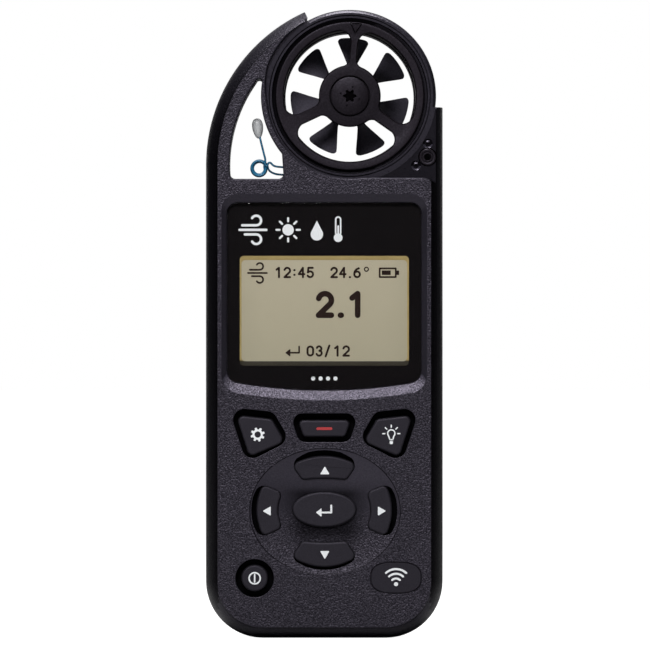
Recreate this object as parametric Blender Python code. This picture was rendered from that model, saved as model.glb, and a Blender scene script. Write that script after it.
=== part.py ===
"""Handheld weather meter with a flow impeller, an air-temperature bead, a display and nine keys.

The case stands upright. X runs across its front face, Z runs up it, and the front faces -Y.
X = 0 is the case's centreline, Y = 0 is halfway through its thickness, and Z = 0 is its bottom edge.
Sizes below are in millimetres; point() turns them into metres.
"""

import math

import bmesh
import bpy
from mathutils import Matrix, Vector

MM = 0.001

# ---------------------------------------------------------------- driving dimensions
HALF_WIDTH = 23.95
CORNER_R = 11.5
FRONT = -14.0  # face of the raised front plate
BACK = 14.0  # flat back of the battery hump
SEAT = -12.8  # lower front level, around the impeller, where a cover would close
REAR_WALL = 6.0  # back face of the case beside the hump
PARTING = -2.7  # plane where the two shells meet
PARTING_GAP = 0.6
WALL = 2.4

SHOULDER_CENTRE = (10.0, 95.7)  # centre of the big curve at the upper left
SHOULDER_R = 33.95
TIP_ANGLE = 114.35
AIR_CENTRE = (5.145, 109.5)  # impeller axis
AIR_RING_R = 17.42
STEP_ANGLE = -7.4
NOTCH_ANGLE = 121.7
PLATE_TOP = 93.07
PLATE_SHOULDER_R = 4.5
PLATE_RING_R = 16.6
PLATE_INSET = 2.3

BORE_R = 15.25
TUBE_OUTER_R = 14.95
TUBE_INNER_R = 13.3
TUBE_FRONT, TUBE_SPLIT, TUBE_BACK = -12.9, -3.2, 5.7
GUARD_HUB_R = 6.25
STAR_RADII = (0.8, 1.15)  # inner and outer, of the recess in the hub cap
SPOKE_ANGLES = (85, 205, 325)
SPOKE_WIDTH = 1.5
BLADE_COUNT = 7
BLADE_TIP_R = 12.0
BLADE_HUB_R = 5.0
BLADE_THICKNESS = 0.6
BLADE_STATIONS = (  # radius, width and depth of each section
    (4.4, 1.2, 5.4),
    (7.2, 2.2, 5.0),
    (9.6, 4.4, 4.2),
    (11.5, 6.0, 3.6),
    (BLADE_TIP_R, 5.0, 3.2),
)
SHAFT_R = 0.5

SENSOR_LEFT_R = 29.07
SENSOR_RIGHT_R = 17.93
SENSOR_RIGHT_X = -8.26
SENSOR_BOTTOM = 92.77
BEAD = (-13.63, -4.4, 103.4)
COIL = (-13.2, 95.0)
COIL_R = 1.45
LEAD_R = 0.22

CAVITY_TOP = 90.3
KEYPAD_CEILING = -12.2
DISPLAY_CEILING = -10.6
KEYPAD_TOP = 49.0

LENS_HALF_WIDTH = 19.65
LENS_TOP = 88.0
LENS_CORNER_Z = 54.2
LENS_CORNER_R = 2.6
LENS_TOP_R = 2.3
LENS_CHIN_R = 103.68
LENS_FACE, LENS_REAR = -13.3, -12.1
LCD_HALF_WIDTH = 18.5
LCD_BOTTOM, LCD_TOP = 53.5, 79.0

KEY_FLANGE_FRONT, KEY_FLANGE_BACK = -11.8, -11.2
KEY_SKIRT = -13.1
KEY_CLEARANCE = 0.35
KEY_FLANGE_GROW = 0.45
DISH_DEPTH = 0.6
PAD_CENTRE = (0.0, 25.9)
SETTINGS_HOLE = [(-19.3, 46.69), (-15.66, 35.55), (-6.95, 40.0), (-10.29, 45.78)]
SETTINGS_CAP = [(-17.68, 44.97), (-15.05, 36.86), (-8.16, 39.8), (-10.69, 44.16)]
CAPTURE_HOLE = [(-6.9, 45.47), (-5.05, 39.7), (5.05, 39.7), (6.9, 45.47)]
CAPTURE_CAP = [(-5.2, 43.95), (-4.1, 40.92), (4.1, 40.92), (5.2, 43.95)]
UP_CAP = [(-6.4, 35.1), (-4.4, 32.2), (4.4, 32.2), (6.4, 35.1)]
DOWN_CAP = [(-4.4, 19.6), (-6.4, 16.5), (6.4, 16.5), (4.4, 19.6)]
LEFT_CAP = [(-12.3, 31.0), (-12.3, 20.8), (-8.6, 22.5), (-8.6, 29.4)]
STRAIGHT = (0, 0, 0, 0)

SCREW_X, SCREW_Z = 18.9, (18.5, 84.0)
BOSS_R = 2.8

CELL_R, CELL_Y = 7.2, 4.35
BAY_BOTTOM, BAY_TOP, BAY_HALF_WIDTH = 12.0, 69.5, 7.55
TRAY_FRONT, BAY_FLOOR = -4.6, -3.2
HUMP_BOTTOM, HUMP_TOP, HUMP_HALF_WIDTH, HUMP_R = 4.5, 88.5, 15.5, 6.0
DOOR_INNER, DOOR_FLOOR = 12.2, 12.0
DOOR_TOP, DOOR_HALF_WIDTH = 76.3, 9.8
HINGE_Y, HINGE_Z, HINGE_KNUCKLE_R, HINGE_PIN_R = 12.4, 7.7, 1.5, 0.7
LATCH_Z, LATCH_R = 73.6, 2.0
INSERT_Z, INSERT_R, INSERT_BORE_R = 82.0, 4.0, 2.6

PIVOT = (20.84, 97.18)
DETENTS = ((20.9, 99.9), (18.5, 95.5))
DATA_OVAL = (14.46, 12.36)
VENT = (-18.2, 70.0)

FINISHES = {
    "shell": ((0.025, 0.025, 0.028), 0.55, 0.0),
    "key": ((0.03, 0.03, 0.033), 0.5, 0.0),
    "lens": ((0.01, 0.01, 0.012), 0.08, 0.0),
    "display": ((0.42, 0.43, 0.35), 0.3, 0.0),
    "guide": ((0.85, 0.86, 0.82), 0.3, 0.0),
    "board": ((0.02, 0.16, 0.07), 0.45, 0.0),
    "chip": ((0.02, 0.02, 0.02), 0.4, 0.0),
    "rubber": ((0.02, 0.02, 0.02), 0.8, 0.0),
    "steel": ((0.6, 0.6, 0.62), 0.3, 1.0),
    "brass": ((0.8, 0.6, 0.3), 0.3, 1.0),
    "cell": ((0.35, 0.37, 0.4), 0.3, 0.6),
    "jewel": ((0.6, 0.05, 0.12), 0.1, 0.0),
    "bead": ((0.55, 0.56, 0.56), 0.35, 0.0),
    "blue_wire": ((0.05, 0.35, 0.65), 0.35, 0.0),
    "copper": ((0.8, 0.4, 0.2), 0.35, 1.0),
}


# ---------------------------------------------------------------- scene and materials
def clear_scene():
    for obj in list(bpy.data.objects):
        bpy.data.objects.remove(obj)


def collection(name):
    made = bpy.data.collections.new(name)
    bpy.context.scene.collection.children.link(made)
    return made


def material(name):
    """The Principled material of one finish, made the first time it is asked for."""
    found = bpy.data.materials.get(name)
    if found:
        return found
    colour, roughness, metallic = FINISHES[name]
    made = bpy.data.materials.new(name)
    made.use_nodes = True
    shader = made.node_tree.nodes["Principled BSDF"]
    shader.inputs["Base Color"].default_value = (*colour, 1.0)
    shader.inputs["Roughness"].default_value = roughness
    shader.inputs["Metallic"].default_value = metallic
    return made


clear_scene()
PARTS = collection("weather_meter")
CUTTERS = collection("cutters")


def point(x, y, z):
    return Vector((x, y, z)) * MM


def add_object(name, data, finish):
    """Links an object. With no finish it is a cutter: drawn as wire and never rendered."""
    obj = bpy.data.objects.new(name, data)
    if finish:
        data.materials.append(material(finish))
        PARTS.objects.link(obj)
    else:
        obj.display_type = "WIRE"
        obj.hide_render = True
        CUTTERS.objects.link(obj)
    return obj


def add_mesh(name, bm, finish=None):
    bmesh.ops.recalc_face_normals(bm, faces=bm.faces)
    mesh = bpy.data.meshes.new(name)
    bm.to_mesh(mesh)
    bm.free()
    return add_object(name, mesh, finish)


MANIFOLD_TARGETS = ("rear_shell",)  # the exact solver leaves split edges where its many cuts meet


def boolean(target, tool, operation):
    modifier = target.modifiers.new(tool.name, "BOOLEAN")
    modifier.operation = operation
    modifier.solver = "MANIFOLD" if target.name in MANIFOLD_TARGETS else "EXACT"
    modifier.object = tool


def cut(target, *tools):
    for tool in tools:
        boolean(target, tool, "DIFFERENCE")


def join(target, *tools):
    for tool in tools:
        boolean(target, tool, "UNION")


# ---------------------------------------------------------------- flat outlines in the XZ plane
def polar(centre, radius, angle):
    a = math.radians(angle)
    return centre[0] + radius * math.cos(a), centre[1] + radius * math.sin(a)


def arc(centre, radius, start, end, steps):
    """Points along a circular arc, angles in degrees."""
    return [polar(centre, radius, start + (end - start) * i / steps) for i in range(steps + 1)]


def ellipse(centre, half_x, half_z, steps=24):
    angles = [2 * math.pi * i / steps for i in range(steps)]
    return [(centre[0] + half_x * math.cos(a), centre[1] + half_z * math.sin(a)) for a in angles]


def circle(centre, radius, steps=24):
    return ellipse(centre, radius, radius, steps)


def rounded_box(x0, x1, z0, z1, low_r, high_r, steps=4):
    """A box outline with its two lower corners rounded to low_r and its two upper ones to high_r."""
    return (
        arc((x1 - low_r, z0 + low_r), low_r, -90, 0, steps)
        + arc((x1 - high_r, z1 - high_r), high_r, 0, 90, steps)
        + arc((x0 + high_r, z1 - high_r), high_r, 90, 180, steps)
        + arc((x0 + low_r, z0 + low_r), low_r, 180, 270, steps)
    )


def panel(corners, bows, radius, bow_steps=6, corner_steps=3):
    """A counterclockwise outline with rounded corners; bows holds how far each side bulges."""
    count = len(corners)

    def on_side(i, t):
        (x0, z0), (x1, z1) = corners[i], corners[(i + 1) % count]
        length = math.hypot(x1 - x0, z1 - z0)
        rise = bows[i] * 4 * t * (1 - t)
        return (
            x0 + (x1 - x0) * t + (z1 - z0) / length * rise,
            z0 + (z1 - z0) * t - (x1 - x0) / length * rise,
        )

    def trim(i):
        (x0, z0), (x1, z1) = corners[i], corners[(i + 1) % count]
        return radius / math.hypot(x1 - x0, z1 - z0)

    points = []
    for i in range(count):
        start, end = on_side(i - 1, 1 - trim(i - 1)), on_side(i, trim(i))
        for step in range(corner_steps):
            t = step / corner_steps
            weights = ((1 - t) ** 2, 2 * t * (1 - t), t * t)
            points.append(tuple(
                sum(w * p[k] for w, p in zip(weights, (start, corners[i], end))) for k in (0, 1)
            ))
        side_steps = bow_steps if bows[i] else 1
        for step in range(side_steps):
            t = trim(i) + (1 - 2 * trim(i)) * step / side_steps
            points.append(on_side(i, t))
    return points


def grown(outline, distance):
    """A counterclockwise outline moved outward by distance, or inward if it is negative."""
    moved = []
    for i, (x, z) in enumerate(outline):
        (px, pz), (nx, nz) = outline[i - 1], outline[(i + 1) % len(outline)]
        length = math.hypot(nx - px, nz - pz)
        moved.append((x + (nz - pz) / length * distance, z - (nx - px) / length * distance))
    return moved


def mirrored(outline):
    """The outline reflected in the case's centreline, still counterclockwise and point for point."""
    return [(-x, z) for x, z in reversed(outline)]


def case_outline(inset=0.0):
    """The case from the front: square foot, curved shoulder on the left, round air ring on top."""
    corner = CORNER_R - inset
    side = HALF_WIDTH - CORNER_R
    step_z = AIR_CENTRE[1] + AIR_RING_R * math.sin(math.radians(STEP_ANGLE))
    return (
        arc((side, CORNER_R), corner, -90, 0, 6)
        + [(HALF_WIDTH - inset, step_z - inset)]
        + arc(AIR_CENTRE, AIR_RING_R - inset, STEP_ANGLE, NOTCH_ANGLE, 20)
        + arc(SHOULDER_CENTRE, SHOULDER_R - inset, TIP_ANGLE, 180, 11)
        + arc((-side, CORNER_R), corner, 180, 270, 6)
    )


def plate_outline(side, top):
    """The raised front plate, side millimetres inside the case's edge and top off the air ring."""
    corner_x = HALF_WIDTH - CORNER_R
    shoulder = (HALF_WIDTH - side - PLATE_SHOULDER_R, PLATE_TOP - top - PLATE_SHOULDER_R)
    ring = []
    last_angle = 125 + 2.6 * side
    for i in range(13):
        angle = 278.3 + (last_angle - 278.3) * i / 12
        widening = min(max((185 - angle) / 25, 0), 1)
        ring.append(polar(AIR_CENTRE, PLATE_RING_R + 0.9 * widening + top, angle))
    return (
        arc((corner_x, CORNER_R), CORNER_R - side, -90, 0, 6)
        + arc(shoulder, PLATE_SHOULDER_R, 0, 90, 5)
        + ring
        + arc(SHOULDER_CENTRE, SHOULDER_R - side, TIP_ANGLE + 2.9 * side, 180, 10)
        + arc((-corner_x, CORNER_R), CORNER_R - side, 180, 270, 6)
    )


def sensor_outline():
    """The see-through window left of the air ring."""
    low = SENSOR_BOTTOM
    return (
        arc((SENSOR_RIGHT_X - 1, low + 1), 1.0, -90, 0, 3)
        + arc(AIR_CENTRE, SENSOR_RIGHT_R, 220.2, 170.7, 12)
        + arc((-13.2, 112.3), 0.65, 30, 120, 3)
        + arc(SHOULDER_CENTRE, SENSOR_LEFT_R, 145.3, 183.8, 12)
        + arc((-17.95, low + 1), 1.0, 190, 270, 3)
    )


def lens_outline(grow=0.0, top=0.0, chin=0.0):
    """The display window: straight sides and top, with a shallow curved chin."""
    x = LENS_HALF_WIDTH - LENS_CORNER_R
    chin_centre = (0, LENS_CORNER_Z + math.sqrt((LENS_CHIN_R - LENS_CORNER_R) ** 2 - x * x))
    chin_angle = math.degrees(math.atan2(LENS_CORNER_Z - chin_centre[1], x))
    top_x, top_z = LENS_HALF_WIDTH - LENS_TOP_R, LENS_TOP + top - LENS_TOP_R
    return (
        arc(chin_centre, LENS_CHIN_R + grow + chin, -180 - chin_angle, chin_angle, 10)[1:-1]
        + arc((x, LENS_CORNER_Z - chin), LENS_CORNER_R + grow, chin_angle, 0, 5)
        + arc((top_x, top_z), LENS_TOP_R + grow, 0, 90, 5)
        + arc((-top_x, top_z), LENS_TOP_R + grow, 90, 180, 5)
        + arc((-x, LENS_CORNER_Z - chin), LENS_CORNER_R + grow, 180, 180 - chin_angle, 5)
    )


def cavity_outline(grow=0.0):
    half = HALF_WIDTH - WALL + grow
    return rounded_box(-half, half, WALL - grow, CAVITY_TOP + grow, CORNER_R - WALL + grow, 3 + grow, 6)


# ---------------------------------------------------------------- solids
def prism(name, outline, front, back, finish=None):
    """A flat outline extruded from y = front to y = back."""
    bm = bmesh.new()
    face = bm.faces.new([bm.verts.new(point(x, front, z)) for x, z in outline])
    extruded = bmesh.ops.extrude_face_region(bm, geom=[face])
    moved = [v for v in extruded["geom"] if isinstance(v, bmesh.types.BMVert)]
    bmesh.ops.translate(bm, verts=moved, vec=point(0, back - front, 0))
    return add_mesh(name, bm, finish)


def loft(name, rings, finish=None, hollow=False):
    """A closed solid through (outline, y) rings; a hollow one joins its last ring to its first."""
    bm = bmesh.new()
    loops = [[bm.verts.new(point(x, y, z)) for x, z in outline] for outline, y in rings]
    for near, far in zip(loops, loops[1:] + (loops[:1] if hollow else [])):
        for i in range(len(near)):
            j = (i + 1) % len(near)
            bm.faces.new((near[i], near[j], far[j], far[i]))
    if not hollow:
        bm.faces.new(loops[0])
        bm.faces.new(loops[-1])
    return add_mesh(name, bm, finish)


def frame(name, outer, inner, front, back, finish=None):
    """A flat ring between two outlines of equal length."""
    return loft(name, [(outer, front), (outer, back), (inner, back), (inner, front)], finish, hollow=True)


def block(name, low, high, finish=None):
    bm = bmesh.new()
    bmesh.ops.create_cube(bm, size=1)
    bmesh.ops.scale(bm, verts=bm.verts, vec=point(*(b - a for a, b in zip(low, high))))
    bmesh.ops.translate(bm, verts=bm.verts, vec=point(*((a + b) / 2 for a, b in zip(low, high))))
    return add_mesh(name, bm, finish)


AXIS_TURN = {
    "X": Matrix.Rotation(math.radians(90), 4, "Y"),
    "Y": Matrix.Rotation(math.radians(-90), 4, "X"),
    "Z": Matrix.Identity(4),
}


def turned(name, profile, base, axis, finish=None, steps=32, closed=True):
    """A (radius, height) profile spun about an axis through base; an open one starts and ends on it."""
    bm = bmesh.new()
    verts = [bm.verts.new(point(r, 0, h)) for r, h in profile]
    edges = [bm.edges.new(pair) for pair in zip(verts, verts[1:])]
    if closed:
        edges.append(bm.edges.new((verts[-1], verts[0])))
    bmesh.ops.spin(
        bm, geom=verts + edges, cent=(0, 0, 0), axis=(0, 0, 1),
        angle=2 * math.pi, steps=steps, use_merge=True,
    )
    bmesh.ops.remove_doubles(bm, verts=bm.verts, dist=1e-7)
    bmesh.ops.transform(bm, matrix=AXIS_TURN[axis], verts=bm.verts)
    bmesh.ops.translate(bm, verts=bm.verts, vec=point(*base))
    return add_mesh(name, bm, finish)


def sleeve(name, centre, outer, inner, front, back, finish=None, steps=48):
    """A tube along Y."""
    profile = [(inner, front), (outer, front), (outer, back), (inner, back)]
    return turned(name, profile, (centre[0], 0, centre[1]), "Y", finish, steps)


def wire(name, path, radius, finish):
    """A round wire along a path of (x, y, z) points."""
    curve = bpy.data.curves.new(name, "CURVE")
    curve.dimensions = "3D"
    curve.bevel_depth = radius * MM
    curve.bevel_resolution = 1
    curve.use_fill_caps = True
    spline = curve.splines.new("POLY")
    spline.points.add(len(path) - 1)
    for spot, place in zip(spline.points, path):
        spot.co = (*point(*place), 1)
    return add_object(name, curve, finish)


def spoke(name, angle, inner, outer, width, front, back):
    """A bar from one radius to another about the impeller's axis, flared where it meets the ring."""
    a = math.radians(angle)
    along, across = (math.cos(a), math.sin(a)), (-math.sin(a), math.cos(a))
    half = width / 2
    profile = [(inner, -2 * half), (inner + 2, -half), (outer - 2, -half), (outer, -2 * half)]
    profile += [(outer, 2 * half), (outer - 2, half), (inner + 2, half), (inner, 2 * half)]
    outline = [
        tuple(AIR_CENTRE[k] + along[k] * r + across[k] * s for k in (0, 1)) for r, s in profile
    ]
    return prism(name, outline, front, back)


# ---------------------------------------------------------------- key shapes


def key_shapes():
    """Each key's name, cap outline, hole outline and the level of its cap."""
    settings = panel(SETTINGS_CAP, STRAIGHT, 1.0), panel(SETTINGS_HOLE, STRAIGHT, 1.6)
    capture = panel(CAPTURE_CAP, STRAIGHT, 0.7), panel(CAPTURE_HOLE, STRAIGHT, 1.2)
    up = panel(UP_CAP, (0, -0.3, 0, 1.66), 1.0)
    down = panel(DOWN_CAP, (0, 1.9, 0, -0.3), 1.0)
    left = panel(LEFT_CAP, (1.5, 0, -0.86, 0), 1.0)
    enter = ellipse((0, 26.1), 6.3, 3.4, 24)
    power = (-14.04, 12.25)
    flush, sunk = FRONT, FRONT + 0.3
    shapes = [
        ("key_settings", *settings, flush),
        ("key_light", *(mirrored(outline) for outline in settings), flush),
        ("key_capture", *capture, flush),
        ("key_power", circle(power, 2.53, 24), circle(power, 3.85, 24), FRONT + 0.1),
    ]
    pad = {"up": up, "down": down, "left": left, "right": mirrored(left), "enter": enter}
    for name, cap in pad.items():
        shapes.append(("key_" + name, cap, grown(cap, 0.65), sunk))
    return shapes


# ---------------------------------------------------------------- case
def screw_places():
    return [(side * SCREW_X, z) for z in SCREW_Z for side in (-1, 1)]


def air_openings(tag):
    """The impeller bore and the sensor window, which run right through the case."""
    return (
        prism(f"{tag}_bore", circle(AIR_CENTRE, BORE_R, 48), -20, 20),
        prism(f"{tag}_sensor_window", sensor_outline(), -20, 20),
    )


def front_shell():
    shell = prism("front_shell", case_outline(), SEAT, PARTING - PARTING_GAP / 2, "shell")
    plate = loft("raised_plate", [
        (plate_outline(0.5, 0.0), SEAT + 0.4),
        (plate_outline(0.5, 0.0), SEAT),
        (plate_outline(PLATE_INSET, 0.35), FRONT),
    ])
    join(shell, plate)
    parting = PARTING + 1
    boss_end = PARTING - PARTING_GAP / 2 - 0.01
    keypad_space = rounded_box(-21.55, 21.55, WALL, KEYPAD_TOP, 9.1, 1)
    cut(
        shell,
        prism("keypad_space", keypad_space, KEYPAD_CEILING, parting),
        prism("display_space", cavity_outline(), DISPLAY_CEILING, parting),
    )
    for i, place in enumerate(screw_places()):
        join(shell, prism(f"front_boss_{i}", circle(place, BOSS_R, 16), KEYPAD_CEILING - 0.4, boss_end))
        cut(shell, prism(f"front_pilot_{i}", circle(place, 1.0, 12), -10.0, parting))
    cut(shell, *air_openings("front"))
    cut_display_seat(shell)
    cut_keypad(shell)
    cut_cover_fittings(shell)
    cut(shell, block("lead_channel", (-9.5, -6.2, 92.9), (-5.5, parting, 96.6)))
    cut(shell, block("lead_drop", (-7.6, -6.2, 88.0), (-5.5, parting, 94.0)))


def cut_display_seat(shell):
    seat = loft("display_seat", [
        (lens_outline(1.5, 0.6, 1.2), FRONT - 0.3),
        (lens_outline(0.3), LENS_FACE + 0.05),
        (lens_outline(0.3), LENS_REAR + 0.2),
    ])
    half = LCD_HALF_WIDTH + 0.3
    window = rounded_box(-half, half, LCD_BOTTOM - 0.3, LCD_TOP + 0.3, 0.6, 0.6, 2)
    cut(shell, seat, prism("lcd_window", window, LENS_REAR - 0.2, DISPLAY_CEILING + 1))


def cut_keypad(shell):
    cut(shell, prism("pad_dish", ellipse(PAD_CENTRE, 15.1, 12.65, 36), FRONT - 1, FRONT + DISH_DEPTH))
    for name, _, hole, _ in key_shapes():
        cut(shell, prism(name + "_hole", hole, FRONT - 1, KEYPAD_CEILING + 1))
    cut(shell, prism("data_recess", ellipse(DATA_OVAL, 5.2, 3.25), FRONT - 1, FRONT + 0.7))


def cut_cover_fittings(shell):
    cut(shell, prism("pivot_socket", circle(PIVOT, 1.9, 24), SEAT - 1, SEAT + 2.8))
    for i, place in enumerate(DETENTS):
        cut(shell, prism(f"detent_{i}", circle(place, 1.0, 12), SEAT - 1, SEAT + 0.7))


def rear_shell():
    front = PARTING + PARTING_GAP / 2
    shell = loft("rear_shell", [
        (case_outline(), front),
        (case_outline(), REAR_WALL - 1.5),
        (case_outline(0.45), REAR_WALL - 0.45),
        (case_outline(1.5), REAR_WALL),
    ], "shell")
    join(shell, hump())
    cut(shell, prism("rear_space", cavity_outline(), front - 1, REAR_WALL - 1.8))
    join(shell, block("battery_tray", (-9.2, TRAY_FRONT, 10.6), (9.2, REAR_WALL - 0.5, 71.0)))
    cut(
        shell,
        block(
            "battery_bay", (-BAY_HALF_WIDTH, BAY_FLOOR, BAY_BOTTOM), (BAY_HALF_WIDTH, BACK + 2, BAY_TOP),
        ),
        prism("door_recess", rounded_box(-10.1, 10.1, 0, DOOR_TOP + 0.3, 1, 3.3), DOOR_FLOOR, BACK + 1),
    )
    for i, place in enumerate(screw_places()):
        join(shell, prism(f"rear_boss_{i}", circle(place, BOSS_R, 16), front + 0.01, REAR_WALL - 1))
        cut(shell, prism(f"rear_clearance_{i}", circle(place, 1.2, 12), front - 1, REAR_WALL + 1))
        cut(shell, prism(f"head_recess_{i}", circle(place, 2.0, 16), REAR_WALL - 2.2, REAR_WALL + 1))
    cut(shell, *air_openings("rear"))
    cut_seal_grooves(shell, front)
    cut_hinge_and_latch(shell)
    cut(shell, prism("insert_hole", circle((0, INSERT_Z), INSERT_R + 0.2, 32), REAR_WALL - 0.5, BACK + 1))
    for i, place in enumerate([VENT] + [(VENT[0] + x, VENT[1] + z) for x in (-1, 1) for z in (-1, 1)]):
        cut(shell, prism(f"vent_{i}", circle(place, 0.45, 8), 3.0, REAR_WALL + 1))


def hump():
    """The battery compartment's hump on the back, with softly rounded shoulders."""
    rings = []
    for step in range(5):
        angle = math.radians(90 * step / 4)
        inset = HUMP_R * 0.66 * (1 - math.cos(angle))
        side, corner = HUMP_HALF_WIDTH - inset, HUMP_R - inset / 2
        low, high = HUMP_BOTTOM + inset * 0.75, HUMP_TOP - inset * 0.75
        outline = rounded_box(-side, side, low, high, corner, corner)
        rings.append((outline, REAR_WALL + 2.0 + (BACK - REAR_WALL - 2.0) * math.sin(angle)))
    return loft("hump", [(rings[0][0], REAR_WALL - 0.8)] + rings)


def cut_seal_grooves(shell, front):
    bay = (-BAY_HALF_WIDTH, BAY_HALF_WIDTH, BAY_BOTTOM, BAY_TOP)
    cut(
        shell,
        frame("case_seal_groove", cavity_outline(1.5), cavity_outline(0.6), front - 1, front + 0.7),
        frame("door_seal_groove", around(bay, 1.5), around(bay, 0.45), DOOR_FLOOR - 0.8, DOOR_FLOOR + 1),
    )


def around(box, grow):
    x0, x1, z0, z1 = box
    return rounded_box(x0 - grow, x1 + grow, z0 - grow, z1 + grow, 0.3 + grow, 0.3 + grow, 4)


def cut_hinge_and_latch(shell):
    """The groove for the door's knuckle, the ears that hold the hinge pin, and the latch's pocket."""
    pivot = (0, HINGE_Y, HINGE_Z)
    join(shell, rod("hinge_ears", pivot, HINGE_KNUCKLE_R, -8.6, 8.6))
    cut(shell, rod("knuckle_groove", pivot, HINGE_KNUCKLE_R + 0.4, -5.4, 5.4))
    cut(shell, rod("pin_hole", pivot, HINGE_PIN_R + 0.12, -9.2, 9.2, None, 18))
    cut(shell, prism("cam_pocket", circle((0, LATCH_Z), 2.3, 24), DOOR_FLOOR - 2.2, DOOR_FLOOR + 1))


def rod(name, base, radius, low, high, finish=None, steps=24):
    """A round bar along X."""
    profile = [(0, low), (radius, low), (radius, high), (0, high)]
    return turned(name, profile, base, "X", finish, steps, closed=False)


def case_seal():
    front = PARTING + PARTING_GAP / 2
    frame("case_seal", cavity_outline(1.3), cavity_outline(0.8), front - 0.35, front + 0.5, "rubber")


def case_screws():
    for i, (x, z) in enumerate(screw_places()):
        profile = [(0, -9.5), (0.8, -8.8), (0.8, 4.2), (1.75, 4.2), (1.75, 5.7), (0, 5.7)]
        screw = turned(f"case_screw_{i + 1}", profile, (x, 0, z), "Y", "steel", 12, closed=False)
        cut(screw, block(f"screw_slot_{i}", (x - 0.3, 5.1, z - 1.3), (x + 0.3, 6.5, z + 1.3)))


def tripod_insert():
    sleeve("tripod_insert", (0, INSERT_Z), INSERT_R, INSERT_BORE_R, REAR_WALL, BACK - 0.1, "brass", 32)


def cover_pivot():
    sleeve("cover_pivot_bushing", PIVOT, 1.7, 0.67, SEAT - 0.1, SEAT + 2.4, "steel", 24)


def data_window():
    prism("data_window", ellipse(DATA_OVAL, 4.9, 2.95), FRONT + 0.1, FRONT + 0.5, "key")


def vent_membrane():
    prism("vent_membrane", circle(VENT, 2.4, 24), 3.3, 3.8, "guide")


# ---------------------------------------------------------------- display and keypad
def display():
    prism("display_window", lens_outline(), LENS_FACE, LENS_REAR, "lens")
    lcd = rounded_box(-LCD_HALF_WIDTH, LCD_HALF_WIDTH, LCD_BOTTOM, LCD_TOP, 0.4, 0.4, 2)
    prism("lcd_panel", lcd, -11.8, -10.6, "display")
    outer = rounded_box(-19.3, 19.3, 52.6, 79.9, 0.8, 0.8, 2)
    inner = rounded_box(-17.6, 17.6, 54.3, 78.2, 0.5, 0.5, 2)
    frame("lcd_frame", outer, inner, -10.3, -9.4, "key")
    prism("lcd_backlight", rounded_box(-17.2, 17.2, 54.7, 77.8, 0.4, 0.4, 2), -10.2, -9.4, "guide")
    block("display_connector", (-15, -10.3, 50.0), (15, -9.4, 51.9), "rubber")


def key_cap(name, cap, hole, level):
    """A key: wide flange under the plate, upright skirt in the hole and a flat-topped cap."""
    flange, skirt = grown(hole, KEY_FLANGE_GROW), grown(hole, -KEY_CLEARANCE)
    return loft(name, [
        (flange, KEY_FLANGE_BACK),
        (flange, KEY_FLANGE_FRONT),
        (skirt, KEY_FLANGE_FRONT - 0.05),
        (skirt, KEY_SKIRT),
        (cap, level),
    ], "key")


def keypad():
    mat = prism("keypad_mat", rounded_box(-20.5, 20.5, 3.5, 48.4, 8, 1), -11.9, -11.0, "rubber")
    sheet = prism("dome_sheet", rounded_box(-15.7, 15.7, 9.0, 47.5, 3, 1), -9.7, -9.4, "steel")
    for name, cap, hole, level in key_shapes():
        key_cap(name, cap, hole, level)
        cut(mat, prism(name + "_mat_hole", grown(hole, KEY_FLANGE_GROW + 0.3), -13, -10))
        x = sum(p[0] for p in cap) / len(cap)
        z = sum(p[1] for p in cap) / len(cap)
        dome = turned(name + "_dome", [(0, -10.3), (1.1, -10.15), (1.9, -9.6), (0, -9.6)], (x, 0, z), "Y",
                      None, 8, closed=False)
        join(sheet, dome)
    for i, (x, z) in enumerate(screw_places()[:2]):
        cut(mat, prism(f"mat_boss_hole_{i}", circle((x, z), BOSS_R + 0.35, 20), -13, -10))


# ---------------------------------------------------------------- electronics
def electronics():
    prism("main_pcb", rounded_box(-15.7, 15.7, 8.0, 80.6, 2, 1, 3), -9.0, -8.0, "board")
    block("processor_chip", (-4, -7.7, 74.0), (4, -6.6, 79.5), "chip")
    block("pressure_sensor", (8, -7.7, 75.5), (11, -6.6, 78.5), "chip")
    humidity = block("humidity_sensor", (-13.5, -7.7, 75.0), (-10.5, -6.7, 78.0), "guide")
    cut(humidity, prism("humidity_port", circle((-12, 76.5), 0.6, 12), -7.1, -6))
    block("radio_module", (11, -7.7, 9.5), (15.5, -6.2, 17.5), "steel")
    coil_base = (AIR_CENTRE[0], -5.6, 0)
    profile = [
        (0.6, 83.4), (2.4, 83.4), (2.4, 84.2), (1.8, 84.2),
        (1.8, 88.6), (2.4, 88.6), (2.4, 89.4), (0.6, 89.4),
    ]
    turned("pickup_coil", profile, coil_base, "Z", "copper", 20)


def battery():
    body = [
        (0, 17.2), (6.9, 17.2), (CELL_R, 17.6), (CELL_R, 66.2),
        (6.8, 66.6), (2.75, 66.6), (2.75, 67.9), (0, 67.9),
    ]
    turned("aa_battery", body, (0, CELL_Y, 0), "Z", "cell", 28, closed=False)
    block("battery_contact_plate", (-4, 1.0, 68.3), (4, 8.0, 68.9), "steel")
    turns, steps = 3.5, 36
    path = []
    for i in range(steps + 1):
        t = i / steps
        angle, radius = 2 * math.pi * turns * t, 4.4 - 1.9 * t
        path.append((radius * math.cos(angle), CELL_Y + radius * math.sin(angle), 12.9 + 3.6 * t))
    wire("battery_contact_spring", path, 0.4, "steel")


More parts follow.
